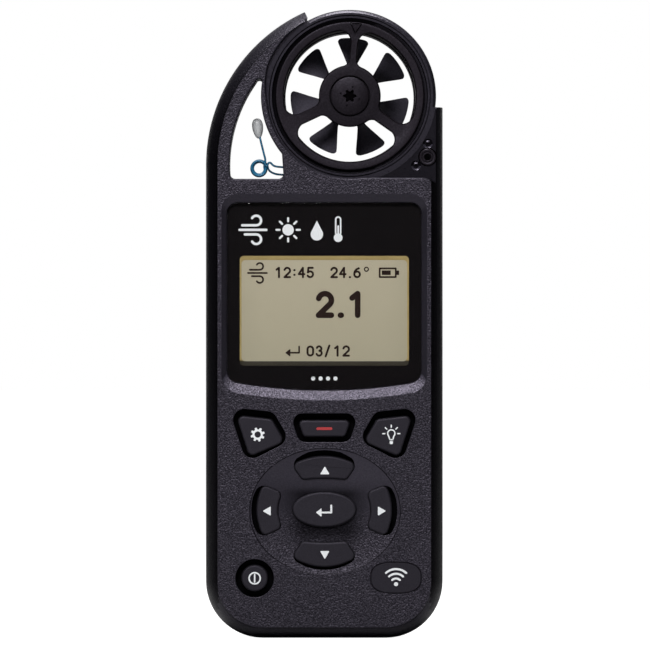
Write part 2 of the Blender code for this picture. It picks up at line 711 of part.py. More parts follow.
def battery_door():
    pivot = (0, HINGE_Y, HINGE_Z)
    door = prism(
        "battery_door", rounded_box(-DOOR_HALF_WIDTH, DOOR_HALF_WIDTH, 9.7, DOOR_TOP, 0.8, 3),
        DOOR_INNER, BACK, "shell",
    )
    join(
        door,
        block(
            "door_tongue",
            (-5.0, DOOR_INNER + 0.1, HINGE_Z), (5.0, HINGE_Y + HINGE_KNUCKLE_R - 0.1, 10.5),
        ),
        rod("door_knuckle", pivot, HINGE_KNUCKLE_R, -5.0, 5.0),
    )
    cut(
        door,
        rod("knuckle_bore", pivot, HINGE_PIN_R + 0.15, -6, 6),
        prism("latch_recess", circle((0, LATCH_Z), LATCH_R + 0.2, 32), BACK - 1.2, BACK + 1),
        prism("latch_hole", circle((0, LATCH_Z), 1.2, 24), DOOR_INNER - 1, BACK + 1),
    )
    rod("battery_door_pin", pivot, HINGE_PIN_R, -8.1, 8.1, "steel")
    bay = (-BAY_HALF_WIDTH, BAY_HALF_WIDTH, BAY_BOTTOM, BAY_TOP)
    outer, inner = around(bay, 1.35), around(bay, 0.6)
    frame("battery_door_seal", outer, inner, DOOR_FLOOR - 0.6, DOOR_FLOOR + 0.05, "rubber")


def battery_latch():
    """A coin-slotted quarter-turn button with a cam behind the door."""
    face = BACK - 0.1
    profile = [(0, 10.2), (0.95, 10.2), (0.95, 13.0), (LATCH_R, 13.0), (LATCH_R, face), (0, face)]
    latch = turned("battery_door_latch", profile, (0, 0, LATCH_Z), "Y", "key", 32, closed=False)
    cam = rounded_box(-0.8, 0.8, LATCH_Z - 0.8, LATCH_Z + 2.0, 0.3, 0.7, 3)
    join(latch, prism("latch_cam", cam, 10.2, 11.6))
    cut(latch, block("coin_slot", (-1.5, 13.4, LATCH_Z - 0.3), (1.5, 15, LATCH_Z + 0.3)))


# ---------------------------------------------------------------- impeller cartridge
def guard_tube(name, front, back):
    return sleeve(name, AIR_CENTRE, TUBE_OUTER_R, TUBE_INNER_R, front, back, "shell", 48)


def guard_front():
    x, z = AIR_CENTRE
    tube = guard_tube("guard_front", TUBE_FRONT, TUBE_SPLIT)
    join(tube, prism("front_hub", circle(AIR_CENTRE, GUARD_HUB_R, 40), TUBE_FRONT + 0.2, -10.3))
    for angle in SPOKE_ANGLES:
        join(tube, spoke(f"front_spoke_{angle}", angle, 5.6, 14.0, SPOKE_WIDTH, TUBE_FRONT + 0.3, -11.2))
    cut(
        tube,
        prism("cap_recess", circle(AIR_CENTRE, 4.15, 40), TUBE_FRONT - 1, -11.8),
        prism("front_jewel_seat", circle(AIR_CENTRE, 1.1, 20), -11.5, -9),
        sleeve("o_ring_groove", AIR_CENTRE, 16, 14.15, -8.7, -7.5, None, 48),
    )
    cap = prism("hub_cap", circle(AIR_CENTRE, 3.9, 40), TUBE_FRONT + 0.1, -12.1, "shell")
    star = [polar(AIR_CENTRE, STAR_RADII[i % 2], 30 * i) for i in range(12)]
    cut(cap, prism("star_recess", star, TUBE_FRONT - 1, -12.4))
    ring = circle((14.72, -8.1), 0.42, 6)
    turned("cartridge_o_ring", ring, (x, 0, z), "Y", "rubber", 40)


def guard_rear():
    tube = guard_tube("guard_rear", TUBE_SPLIT + 0.3, TUBE_BACK)
    join(tube, prism("rear_hub", circle(AIR_CENTRE, 5.0, 32), 3.0, TUBE_BACK - 0.2))
    for angle in SPOKE_ANGLES:
        join(tube, spoke(f"rear_spoke_{angle}", angle, 4.4, 14.0, SPOKE_WIDTH, 3.9, TUBE_BACK - 0.3))
    cut(tube, prism("rear_jewel_seat", circle(AIR_CENTRE, 1.1, 20), 2, 4.2))


def bearing_jewels():
    x, z = AIR_CENTRE
    cup = [(0, -11.4), (0.9, -11.4), (0.9, -10.6), (0.32, -10.6), (0.32, -11.1), (0, -11.1)]
    turned("front_jewel", cup, (x, 0, z), "Y", "jewel", 20, closed=False)
    cup = [(0, 4.1), (0.9, 4.1), (0.9, 3.3), (0.32, 3.3), (0.32, 3.8), (0, 3.8)]
    turned("rear_jewel", cup, (x, 0, z), "Y", "jewel", 20, closed=False)


def blade(name, angle):
    """One pitched vane: a thin twisted sheet that widens from the hub to its rounded tip."""
    bm = bmesh.new()
    rows = []
    for radius, width, depth in BLADE_STATIONS:
        row = []
        for side in (-0.5, 0.5):
            for face in (-0.5, 0.5):
                across = side * width
                y = -3.9 + side * depth + face * BLADE_THICKNESS
                row.append(bm.verts.new(point(across, y, math.sqrt(radius ** 2 - across ** 2))))
        rows.append([row[0], row[1], row[3], row[2]])
    for near, far in zip(rows, rows[1:]):
        for i in range(4):
            j = (i + 1) % 4
            bm.faces.new((near[i], near[j], far[j], far[i]))
    bm.faces.new(rows[0])
    bm.faces.new(rows[-1])
    bmesh.ops.triangulate(bm, faces=bm.faces)
    turn = Matrix.Rotation(math.radians(90 - angle), 4, "Y")
    bmesh.ops.transform(bm, matrix=turn, verts=bm.verts)
    bmesh.ops.translate(bm, verts=bm.verts, vec=point(AIR_CENTRE[0], 0, AIR_CENTRE[1]))
    return add_mesh(name, bm)


def impeller():
    x, z = AIR_CENTRE
    hub = [
        (0.56, -9.6), (4.2, -9.6), (BLADE_HUB_R, -8.8), (BLADE_HUB_R, 2.2),
        (3.5, 2.2), (3.5, -0.6), (0.56, -0.6),
    ]
    wheel = turned("impeller", hub, (x, 0, z), "Y", "shell", 32)
    for i in range(BLADE_COUNT):
        join(wheel, blade(f"blade_{i}", 86.4 + 360 / BLADE_COUNT * i))
    shaft = [(0, -10.95), (0.2, -10.95), (SHAFT_R, -10.2), (SHAFT_R, 2.9), (0.2, 3.65), (0, 3.65)]
    turned("impeller_shaft", shaft, (x, 0, z), "Y", "steel", 20, closed=False)
    sleeve("hub_magnet", AIR_CENTRE, 3.3, 0.9, -0.4, 1.9, "steel", 32)


# ---------------------------------------------------------------- air temperature sensor
def thermistor():
    profile = [
        (0, 101.3), (0.45, 101.5), (0.8, 102.3), (1.02, 103.4),
        (1.0, 104.2), (0.7, 104.9), (0.3, 105.2), (0, 105.25),
    ]
    bead = turned("thermistor_bead", profile, (0, 0, 0), "Z", "bead", 16, closed=False)
    bead.location = point(BEAD[0], BEAD[1], 0)
    for name, y in (("thermistor_lead_front", -0.35), ("thermistor_lead_rear", 0.35)):
        lead(name, BEAD[1] + y)
    grommet = block("lead_grommet", (-8.1, -6.0, 93.1), (-6.9, PARTING - 0.4, 96.3), "rubber")
    for i, y in enumerate((BEAD[1] - 1.1, BEAD[1] + 1.1)):
        cut(grommet, rod(f"grommet_hole_{i}", (0, y, 95.3 - 1.5 * i), LEAD_R + 0.2, -9, -6, None, 12))


def lead(name, y):
    """One insulated lead: down from the bead, round a spare loop, then out to the case wall."""
    side = 1 if y > BEAD[1] else -1
    path = [(-13.0, y, 101.0), (-12.4, y, 98.6), (-11.95, y, 96.6)]
    turns = 2.0
    steps = 20
    for i in range(steps + 1):
        t = i / steps
        angle = math.radians(28) - 2 * math.pi * turns * t
        reach = y + side * 0.75 * t
        path.append((COIL[0] + COIL_R * math.cos(angle), reach, COIL[1] + COIL_R * math.sin(angle)))
    end_z = 95.3 if side < 0 else 93.8
    end_y = BEAD[1] + side * 1.1
    for x, rise in ((-10.9, 0.6), (-9.9, 0.15), (-8.8, 0), (-6.4, 0)):
        path.append((x, end_y, end_z + rise))
    return wire(name, path, LEAD_R, "blue_wire")


front_shell()
rear_shell()
case_seal()
case_screws()
tripod_insert()
cover_pivot()
data_window()
vent_membrane()
display()
keypad()
electronics()
battery()
battery_door()
battery_latch()
guard_front()
guard_rear()
bearing_jewels()
impeller()
thermistor()
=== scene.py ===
"""The looks of a handheld weather meter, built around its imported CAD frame.

Sizes are in millimetres in the frame's own axes: X runs across the front face, Z runs up it and the front
faces -Y. point() turns them into metres. Where a CAD node fixes a place, it is mostly read from that
node's box.
"""

import math

import bmesh
import bpy
from mathutils import Matrix, Vector

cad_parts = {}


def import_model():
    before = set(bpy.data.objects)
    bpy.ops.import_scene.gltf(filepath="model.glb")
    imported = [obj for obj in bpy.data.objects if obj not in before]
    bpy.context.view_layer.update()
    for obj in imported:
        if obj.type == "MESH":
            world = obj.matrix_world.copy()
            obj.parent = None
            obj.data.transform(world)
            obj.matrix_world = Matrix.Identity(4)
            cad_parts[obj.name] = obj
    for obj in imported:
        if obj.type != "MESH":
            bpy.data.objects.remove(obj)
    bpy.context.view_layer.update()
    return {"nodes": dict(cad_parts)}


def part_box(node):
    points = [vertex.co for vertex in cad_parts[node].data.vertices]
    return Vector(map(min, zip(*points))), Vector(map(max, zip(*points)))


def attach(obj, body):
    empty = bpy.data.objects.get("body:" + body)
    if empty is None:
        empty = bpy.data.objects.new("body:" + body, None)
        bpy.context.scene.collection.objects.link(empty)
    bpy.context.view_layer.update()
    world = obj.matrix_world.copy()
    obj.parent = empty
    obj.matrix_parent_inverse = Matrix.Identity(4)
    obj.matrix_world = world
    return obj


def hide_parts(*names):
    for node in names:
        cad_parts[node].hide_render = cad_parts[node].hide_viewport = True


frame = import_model()

MM = 0.001


def limits(node):
    """A CAD node's lowest and highest corners, in millimetres."""
    low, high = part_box(node)
    return low / MM, high / MM


def middle(node):
    """The centre of a CAD node seen from the front, as (x, z)."""
    low, high = limits(node)
    return (low.x + high.x) / 2, (low.z + high.z) / 2


# ---------------------------------------------------------------- dimensions
SHELL_LOW, SHELL_HIGH = limits("front_shell")
HALF_WIDTH = SHELL_HIGH.x
FRONT = SHELL_LOW.y
SPLIT_FRONT = SHELL_HIGH.y
SPLIT_REAR = limits("rear_shell")[0].y
BACK = limits("rear_shell")[1].y
CORNER_R = 11.5
SEAT = FRONT + 1.2
REAR_WALL = 6.0
WALL = 2.4
HUMP_HALF_WIDTH = 15.5
HUMP_BOTTOM, HUMP_TOP = 4.5, 88.5
HUMP_FLARE = 0.4  # how far the hump's foot spreads beyond it
CAVITY_TOP = 90.3
BAY_LOW, BAY_HIGH = (-7.55, -3.2, 12.0), (7.55, BACK + 2, 69.5)  # the battery's room
SCREW_BOSS_R = 2.8
ROUND_STEPS = 128  # sides of the bore and of what fits it

SHOULDER_CENTRE = (10.0, 95.7)
SHOULDER_R = 33.95
TIP_ANGLE = 114.35
AIR_CENTRE = middle("impeller_shaft")
AIR_RING_R = 17.42
STEP_ANGLE = -7.4
NOTCH_ANGLE = 121.7
PLATE_TOP = 93.07
PLATE_SHOULDER_R = 4.5
PLATE_RING_R = 16.6

BAND_START = FRONT + 7.2  # where the steep side band leaves the upright side
BAND_REACH = (5.1, 8.4)  # half axes of the band's elliptic curve, across and in depth
BAND_TURN = 55  # degrees of that curve used before the plate's edge
RING_ROUNDING = (0.85, 1.7)  # the air ring's outer edge, across and in depth
PLATE_INSET = 2.3
RING_GROOVE = (16.12, 16.36)  # inner and outer radius of the fine groove round the guard

BORE_R = 15.25
GUARD_LOW, GUARD_HIGH = limits("guard_front")
GUARD_FRONT, GUARD_SPLIT = GUARD_LOW.y, GUARD_HIGH.y
GUARD_OUTER_R = (GUARD_HIGH.x - GUARD_LOW.x) / 2
GUARD_INNER_R = 13.3
GUARD_HUB_R = 6.25
SPOKES = ((85, 1.5), (205, 2.2), (325, 2.2))  # angle and width
GUARD_HUB_BACK = -10.3
CAP_SEAT = -11.8  # the floor of the hub's recess for the cap
CAP_R = 3.9
CAP_BACK = -12.1
BLADE_COUNT = 7
BLADE_HUB_R = 5.0
BLADE_ANGLE = 86.4
BLADE_DEPTH = -3.9

SENSOR_LEFT_R = 29.07
SENSOR_RIGHT_R = 17.93
SENSOR_RIGHT_X = -8.26
SENSOR_BOTTOM = 92.77

LENS_LOW, LENS_HIGH = limits("display_window")
LENS_HALF_WIDTH = LENS_HIGH.x
LENS_TOP = LENS_HIGH.z
LENS_CORNER_Z = 54.2
LENS_CORNER_R = 2.6
LENS_TOP_R = 2.3
LENS_CHIN_R = 103.68
LCD_FACE = limits("lcd_panel")[0].y
VIEW_HALF_WIDTH = 17.06
VIEW_BOTTOM, VIEW_TOP = 55.09, 77.27

KEYPAD_CEILING = FRONT + 1.8
KEYPAD_HALF_WIDTH = 20.5
KEYPAD_LOW, KEYPAD_HIGH = 8, 48
KEYPAD_ROOM = (-21.55, 21.55, WALL, 49.0)
LCD_ROOM = (-18.8, 18.8, 53.2, 79.3)
DISPLAY_CEILING = FRONT + 3.4
PAD_CENTRE = (0.14, 25.72)
PAD_HALF_X, PAD_HALF_Z = 15.1, 12.65
PAD_DEPTH = 1.0

PIVOT = middle("cover_pivot_bushing")
DETENTS = ((20.9, 99.9), (18.5, 95.5))
DATA_OVAL = middle("data_window")
SCREWS = [middle(f"case_screw_{i}") for i in (1, 2, 3, 4)]
VENT = middle("vent_membrane")
INSERT = middle("tripod_insert")
LATCH = (0.0, 73.6)
HINGE_Y, HINGE_Z = 12.4, 7.7
KNUCKLE_HALF, KNUCKLE_R = 5.0, 1.5
BEAD = (-13.63, -4.4, 103.4)
COIL = (-13.2, 95.0)
COIL_R = 1.45
LEAD_R, SPRING_WIRE_R = 0.21, 0.38


# ---------------------------------------------------------------- outlines in the XZ plane
def point(x, y, z):
    return Vector((x, y, z)) * MM


def polar(centre, radius, angle):
    a = math.radians(angle)
    return centre[0] + radius * math.cos(a), centre[1] + radius * math.sin(a)


def arc(centre, radius, start, end, steps):
    """Points along a circular arc, angles in degrees."""
    return [polar(centre, radius, start + (end - start) * i / steps) for i in range(steps + 1)]


def oval(centre, half_x, half_z, steps=64, power=2.0):
    """An ellipse, or with a power above 2 a squarer oval."""
    points = []
    for i in range(steps):
        a = 2 * math.pi * i / steps
        c, s = math.cos(a), math.sin(a)
        points.append((
            centre[0] + half_x * math.copysign(abs(c) ** (2 / power), c),
            centre[1] + half_z * math.copysign(abs(s) ** (2 / power), s),
        ))
    return points


def circle(centre, radius, steps=64):
    return oval(centre, radius, radius, steps)


def rounded_box(x0, x1, z0, z1, low_r, high_r, steps=8):
    """A box outline with its two lower corners rounded to low_r and its two upper ones to high_r."""
    return (
        arc((x1 - low_r, z0 + low_r), low_r, -90, 0, steps)
        + arc((x1 - high_r, z1 - high_r), high_r, 0, 90, steps)
        + arc((x0 + high_r, z1 - high_r), high_r, 90, 180, steps)
        + arc((x0 + low_r, z0 + low_r), low_r, 180, 270, steps)
    )


def trimmed(side, start, end):
    """A polyline with a length taken off each end."""
    def shorten(points, distance):
        points = list(points)
        while len(points) > 1:
            step = math.dist(points[0], points[1])
            if step > distance:
                t = distance / step
                first = tuple(a + (b - a) * t for a, b in zip(points[0], points[1]))
                return [first] + points[1:]
            distance -= step
            points.pop(0)
        return points

    return shorten(shorten(side, start)[::-1], end)[::-1]


def half_angle(before, after):
    """Half the inner angle, in radians, where one polyline meets the next."""
    corner = after[0]
    back = math.atan2(before[-2][1] - corner[1], before[-2][0] - corner[0])
    ahead = math.atan2(after[1][1] - corner[1], after[1][0] - corner[0])
    return abs((ahead - back + math.pi) % (2 * math.pi) - math.pi) / 2


def filleted(sides, radii):
    """One closed outline from polylines that meet end to end; radii[i] rounds the start of side i."""
    steps = 7  # points on each rounded corner, plus one
    count = len(sides)
    halves = [half_angle(sides[i - 1], sides[i]) for i in range(count)]
    reach = [radius / math.tan(half) for radius, half in zip(radii, halves)]
    cut = [trimmed(side, reach[i], reach[(i + 1) % count]) for i, side in enumerate(sides)]
    outline = []
    for i, side in enumerate(cut):
        ends = (cut[i - 1][-1], sides[i][0], side[0])
        for step in range(1, steps):
            t = step / steps
            weights = ((1 - t) ** 2, 2 * t * (1 - t) * math.sin(halves[i]), t * t)
            outline.append(tuple(
                sum(w * p[k] for w, p in zip(weights, ends)) / sum(weights) for k in (0, 1)
            ))
        outline += side
    return outline


def panel(corners, bows, radius, bow_steps=12):
    """A counterclockwise outline with rounded corners; bows holds how far each side bulges at its middle."""
    sides = []
    for i, (x0, z0) in enumerate(corners):
        x1, z1 = corners[(i + 1) % len(corners)]
        length = math.hypot(x1 - x0, z1 - z0)
        side = []
        for step in range(bow_steps + 1):
            t = step / bow_steps
            rise = bows[i] * 4 * t * (1 - t)
            side.append((
                x0 + (x1 - x0) * t + (z1 - z0) / length * rise,
                z0 + (z1 - z0) * t - (x1 - x0) / length * rise,
            ))
        sides.append(side)
    return filleted(sides, [radius] * len(corners))


def grown(outline, distance):
    """A counterclockwise outline moved outward by distance, or inward if it is negative."""
    moved = []
    for i, (x, z) in enumerate(outline):
        (px, pz), (nx, nz) = outline[i - 1], outline[(i + 1) % len(outline)]
        length = math.hypot(nx - px, nz - pz)
        moved.append((x + (nz - pz) / length * distance, z - (nx - px) / length * distance))
    return moved


def mirrored(outline):
    """The outline reflected in the case's centreline, still counterclockwise."""
    return [(-x, z) for x, z in reversed(outline)]


def case_outline(inset=0.0, ring_inset=None):
    """The case seen from the front: rounded foot, curved shoulder on the left, round air ring at the top."""
    ring_inset = inset if ring_inset is None else ring_inset
    corner = CORNER_R - inset
    side = HALF_WIDTH - CORNER_R
    step_z = AIR_CENTRE[1] + AIR_RING_R * math.sin(math.radians(STEP_ANGLE))
    return (
        arc((side, CORNER_R), corner, -90, 0, 14)
        + [(HALF_WIDTH - inset, step_z - ring_inset)]
        + arc(AIR_CENTRE, AIR_RING_R - ring_inset, STEP_ANGLE, NOTCH_ANGLE, 60)
        + arc(SHOULDER_CENTRE, SHOULDER_R - inset, TIP_ANGLE, 180, 36)
        + arc((-side, CORNER_R), corner, 180, 270, 14)
    )


def seat_outline(back):
    """The lower front level where a cover would close; back sets the raised plate's edge further away."""
    shoulder = (HALF_WIDTH - PLATE_SHOULDER_R, PLATE_TOP - back - PLATE_SHOULDER_R)
    ring = []
    for i in range(49):
        angle = 278.3 - (278.3 - 125) * i / 48
        widening = min(max((185 - angle) / 25, 0), 1)
        ring.append(polar(AIR_CENTRE, PLATE_RING_R + 0.9 * widening + back, angle))
    tip_x = -3.95 - back * 0.3
    return (
        [(HALF_WIDTH + 4, shoulder[1])]
        + arc(shoulder, PLATE_SHOULDER_R, 0, 90, 12)
        + ring
        + [(tip_x, 124.5), (tip_x, 132), (HALF_WIDTH + 4, 132)]
    )


def sensor_outline():
    """The see-through window left of the air ring."""
    low = SENSOR_BOTTOM
    return (
        arc((SENSOR_RIGHT_X - 1, low + 1), 1.0, -90, 0, 6)
        + arc(AIR_CENTRE, SENSOR_RIGHT_R, 220.2, 170.7, 30)
        + arc((-13.2, 112.3), 0.65, 30, 120, 6)
        + arc(SHOULDER_CENTRE, SENSOR_LEFT_R, 145.3, 183.8, 30)
        + arc((-17.95, low + 1), 1.0, 190, 270, 6)
    )


def lens_outline(grow=0.0, top=0.0, chin=0.0):
    """The display window: straight sides and top, with a shallow curved chin."""
    x = LENS_HALF_WIDTH - LENS_CORNER_R
    chin_centre = (0, LENS_CORNER_Z + math.sqrt((LENS_CHIN_R - LENS_CORNER_R) ** 2 - x * x))
    chin_angle = math.degrees(math.atan2(LENS_CORNER_Z - chin_centre[1], x))
    top_x, top_z = LENS_HALF_WIDTH - LENS_TOP_R, LENS_TOP + top - LENS_TOP_R
    return (
        arc(chin_centre, LENS_CHIN_R + grow + chin, -180 - chin_angle, chin_angle, 24)[1:-1]
        + arc((x, LENS_CORNER_Z - chin), LENS_CORNER_R + grow, chin_angle, 0, 10)
        + arc((top_x, top_z), LENS_TOP_R + grow, 0, 90, 10)
        + arc((-top_x, top_z), LENS_TOP_R + grow, 90, 180, 10)
        + arc((-x, LENS_CORNER_Z - chin), LENS_CORNER_R + grow, 180, 180 - chin_angle, 10)
    )


def cavity_outline():
    half = HALF_WIDTH - WALL
    return rounded_box(-half, half, WALL, CAVITY_TOP, CORNER_R - WALL, 3, 12)


def stroke(path, width):
    """The outline of a line of some width with round ends."""
    left, right = [], []
    half = width / 2
    for i, (x, z) in enumerate(path):
        (ax, az), (bx, bz) = path[max(i - 1, 0)], path[min(i + 1, len(path) - 1)]
        length = math.hypot(bx - ax, bz - az)
        nx, nz = -(bz - az) / length * half, (bx - ax) / length * half
        left.append((x + nx, z + nz))
        right.append((x - nx, z - nz))

    def round_end(centre, start):
        a = math.degrees(math.atan2(start[1] - centre[1], start[0] - centre[0]))
        return arc(centre, half, a, a + 180, 6)[1:-1]

    return right + round_end(path[-1], right[-1]) + left[::-1] + round_end(path[0], left[0])


# ---------------------------------------------------------------- closed meshes
def loft(rings, hollow=False):
    """A closed solid through equally long (outline, y) rings; a hollow one joins its last to its first."""
    bm = bmesh.new()
    loops = [[bm.verts.new(point(x, y, z)) for x, z in outline] for outline, y in rings]
    for near, far in zip(loops, loops[1:] + (loops[:1] if hollow else [])):
        for i in range(len(near)):
            j = (i + 1) % len(near)
            bm.faces.new((near[i], near[j], far[j], far[i]))
    if not hollow:
        bm.faces.new(loops[0])
        bm.faces.new(loops[-1])
    return bm


def prism(outline, front, back):
    return loft([(outline, front), (outline, back)])


def quarter_round(steps):
    """Pairs (in, drop) along a rounded edge of radius 1, from its side to its face."""
    angles = [math.radians(90 * step / steps) for step in range(steps + 1)]
    return [(1 - math.cos(a), 1 - math.sin(a)) for a in angles]


def plaque(outline, front, back, edge):
    """A prism whose front edge is rounded by a quarter circle of radius edge."""
    rounding = [(grown(outline, -edge * inward), front + edge * drop) for inward, drop in quarter_round(4)]
    return loft([(outline, back)] + rounding)


AXIS_TURN = {
    "X": Matrix.Rotation(math.radians(90), 4, "Y"),
    "Y": Matrix.Rotation(math.radians(-90), 4, "X"),
    "Z": Matrix.Identity(4),
}


def turned(profile, base, axis, steps=64, closed=True):
    """(radius, height) points spun about an axis through base; an open profile starts and ends on it."""
    bm = bmesh.new()
    verts = [bm.verts.new(point(r, 0, h)) for r, h in profile]
    edges = [bm.edges.new(pair) for pair in zip(verts, verts[1:])]
    if closed:
        edges.append(bm.edges.new((verts[-1], verts[0])))
    bmesh.ops.spin(
        bm, geom=verts + edges, cent=(0, 0, 0), axis=(0, 0, 1),
        angle=2 * math.pi, steps=steps, use_merge=True,
    )
    bmesh.ops.remove_doubles(bm, verts=bm.verts, dist=1e-7)
    bmesh.ops.transform(bm, matrix=AXIS_TURN[axis], verts=bm.verts)
    bmesh.ops.translate(bm, verts=bm.verts, vec=point(*base))
    return bm


def spun(profile, place, steps):
    """A solid spun about a line along Y through place, given as (x, z)."""
    return turned(profile, (place[0], 0, place[1]), "Y", steps, closed=False)


def rod(base, radius, low, high, steps=32):
    """A round bar along X."""
    return turned([(0, low), (radius, low), (radius, high), (0, high)], base, "X", steps, closed=False)


def block(low, high):
    (x0, front, z0), (x1, back, z1) = low, high
    return prism([(x0, z0), (x1, z0), (x1, z1), (x0, z1)], front, back)


def air_turned(profile, steps=96):
    """A hollow form spun about the impeller's axis."""
    return turned(profile, (AIR_CENTRE[0], 0, AIR_CENTRE[1]), "Y", steps)


def air_solid(profile, steps=96):
    return spun(profile, AIR_CENTRE, steps)


def merged(*meshes):
    """Several closed meshes as one, without joining their surfaces."""
    whole = meshes[0]
    for other in meshes[1:]:
        spare = bpy.data.meshes.new("spare")
        other.to_mesh(spare)
        other.free()
        whole.from_mesh(spare)
        bpy.data.meshes.remove(spare)
    return whole


# ---------------------------------------------------------------- pieces
def linked(name, data):
    """A new object in the scene."""
    obj = bpy.data.objects.new(name, data)
    bpy.context.scene.collection.objects.link(obj)
    return obj


def mesh_object(name, bm):
    bmesh.ops.recalc_face_normals(bm, faces=bm.faces)
    mesh = bpy.data.meshes.new(name)
    bm.to_mesh(mesh)
    bm.free()
    return linked(name, mesh)


def carve(obj, *tools, operation="DIFFERENCE"):
    """Cuts each closed mesh out of the object, or joins it on, and keeps the result as plain mesh."""
    for bm in tools:
        tool = mesh_object("tool", bm)
        modifier = obj.modifiers.new("carve", "BOOLEAN")
        modifier.operation = operation
        modifier.solver = "MANIFOLD"
        modifier.object = tool
        evaluated = obj.evaluated_get(bpy.context.evaluated_depsgraph_get())
        mesh = bpy.data.meshes.new_from_object(evaluated)
        obj.modifiers.clear()
        obj.data = mesh
        bpy.data.objects.remove(tool)
    if not obj.data.polygons:
        raise ValueError(f"{obj.name} has no surface left")


def weld(obj, *tools):
    carve(obj, *tools, operation="UNION")


def finish(obj, look, body="root", nodes=(), angle=32):
    """Shades a piece smoothly between its sharp edges, gives it its look and puts it on its body."""
    mesh = obj.data
    mesh.materials.clear()
    mesh.materials.append(look)
    mesh.polygons.foreach_set("use_smooth", [True] * len(mesh.polygons))
    mesh.set_sharp_from_angle(angle=math.radians(angle))
    weighted = obj.modifiers.new("weighted_normals", "WEIGHTED_NORMAL")
    weighted.keep_sharp = True
    weighted.weight = 90
    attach(obj, body)
    if nodes:
        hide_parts(*nodes)
    return obj


def piece(name, bm, look, body="root", nodes=(), angle=32):
    return finish(mesh_object(name, bm), look, body, nodes, angle)


def mark(obj, name, value_at):
    """A value at each face corner, worked out from its place in millimetres and its face."""
    mesh = obj.data
    values = [0.0] * len(mesh.loops)
    for face in mesh.polygons:
        for loop in face.loop_indices:
            place = mesh.vertices[mesh.loops[loop].vertex_index].co / MM
            values[loop] = value_at(place, face)
    mesh.attributes.new(name, "FLOAT", "CORNER").data.foreach_set("value", values)


def ramp(value, low, high):
    """0 at low, 1 at high and straight in between."""
    return min(max((value - low) / (high - low), 0.0), 1.0)


# ---------------------------------------------------------------- looks
COOL = (0.88, 0.80, 1.0)  # the black plastics shine a little blue


class Graph:
    """A node tree and short ways to add to it."""

    def __init__(self, tree):
        self.tree = tree

    def add(self, kind, **settings):
        node = self.tree.nodes.new(kind)
        for key, value in settings.items():
            setattr(node, key, value)
        return node

    def link(self, source, target):
        self.tree.links.new(source, target)

    def put(self, socket, value):
        """Links a socket to a socket, or sets its plain value."""
        if isinstance(value, bpy.types.NodeSocket):
            self.link(value, socket)
        elif isinstance(value, tuple) and len(value) == 3 and socket.type == "RGBA":
            socket.default_value = (*value, 1.0)
        else:
            socket.default_value = value

    def math(self, operation, a, b=0.0, clamp=False):
        node = self.add("ShaderNodeMath", operation=operation, use_clamp=clamp)
        self.put(node.inputs[0], a)
        self.put(node.inputs[1], b)
        return node.outputs[0]

    def times(self, a, b):
        return self.math("MULTIPLY", a, b)

    def between(self, value, low, high, to_low=0.0, to_high=1.0):
        node = self.add("ShaderNodeMapRange", clamp=True)
        for i, item in enumerate((value, low, high, to_low, to_high)):
            self.put(node.inputs[i], item)
        return node.outputs[0]

    def split(self, vector):
        node = self.add("ShaderNodeSeparateXYZ")
        self.link(vector, node.inputs[0])
        return node.outputs


class Look(Graph):
    """A node material whose patterns are laid out in millimetres."""

    def __init__(self, name):
        self.material = bpy.data.materials.new(name)
        self.material.use_nodes = True
        super().__init__(self.material.node_tree)
        self.shader = self.tree.nodes["Principled BSDF"]
        self.output = self.tree.nodes["Material Output"]
        scale = self.add("ShaderNodeVectorMath", operation="SCALE")
        scale.inputs["Scale"].default_value = 1 / MM
        self.link(self.add("ShaderNodeTexCoord").outputs["Object"], scale.inputs[0])
        self.place = scale.outputs[0]

    def noise(self, scale, detail=3.0, roughness=0.55, stretch=None):
        """Noise from 0 to 1 with about scale features per millimetre."""
        node = self.add("ShaderNodeTexNoise")
        node.inputs["Scale"].default_value = scale
        node.inputs["Detail"].default_value = detail
        node.inputs["Roughness"].default_value = roughness
        self.link(self.stretched(stretch) if stretch else self.place, node.inputs["Vector"])
        return node.outputs["Fac"]

    def mottle(self, low, high, *noise):
        """Values from low to high in soft patches; noise holds the settings of noise()."""
        return self.between(self.noise(*noise), 0.3, 0.7, low, high)

    def unshaded(self):
        """The share of the light that the shade attribute leaves."""
        return self.math("SUBTRACT", 1.0, self.times(self.attribute("shade"), 0.9))

    def stretched(self, stretch):
        node = self.add("ShaderNodeVectorMath", operation="MULTIPLY")
        node.inputs[1].default_value = stretch
        self.link(self.place, node.inputs[0])
        return node.outputs[0]

    def cells(self, scale):
        node = self.add("ShaderNodeTexVoronoi", feature="SMOOTH_F1")
        node.inputs["Scale"].default_value = scale
        self.link(self.place, node.inputs["Vector"])
        return node.outputs["Distance"]

    def axis(self, name):
        """One coordinate of the place, in millimetres."""
        return self.split(self.place)[name]

    def blend(self, amount, first, second):
        """Colour from first to second."""
        node = self.add("ShaderNodeMix", data_type="RGBA")
        self.put(node.inputs["Factor"], amount)
        self.put(node.inputs[6], first)
        self.put(node.inputs[7], second)
        return node.outputs[2]

    def attribute(self, name):
        node = self.add("ShaderNodeAttribute", attribute_name=name)
        return node.outputs["Fac"]

    def bump(self, height, depth, strength=1.0, under=None):
        """Relief of some depth in millimetres, on top of another bump if one is given."""
        node = self.add("ShaderNodeBump")
        self.put(node.inputs["Strength"], strength)
        node.inputs["Distance"].default_value = depth * MM
        self.put(node.inputs["Height"], height)
        if under:
            self.link(under, node.inputs["Normal"])
        return node.outputs["Normal"]

    def set(self, **inputs):
        names = {
            "color": "Base Color", "coat": "Coat Weight",
            "specular": "Specular IOR Level", "tint": "Specular Tint",
        }
        for key, value in inputs.items():
            self.put(self.shader.inputs[names.get(key, key.replace("_", " ").title())], value)
        return self.material


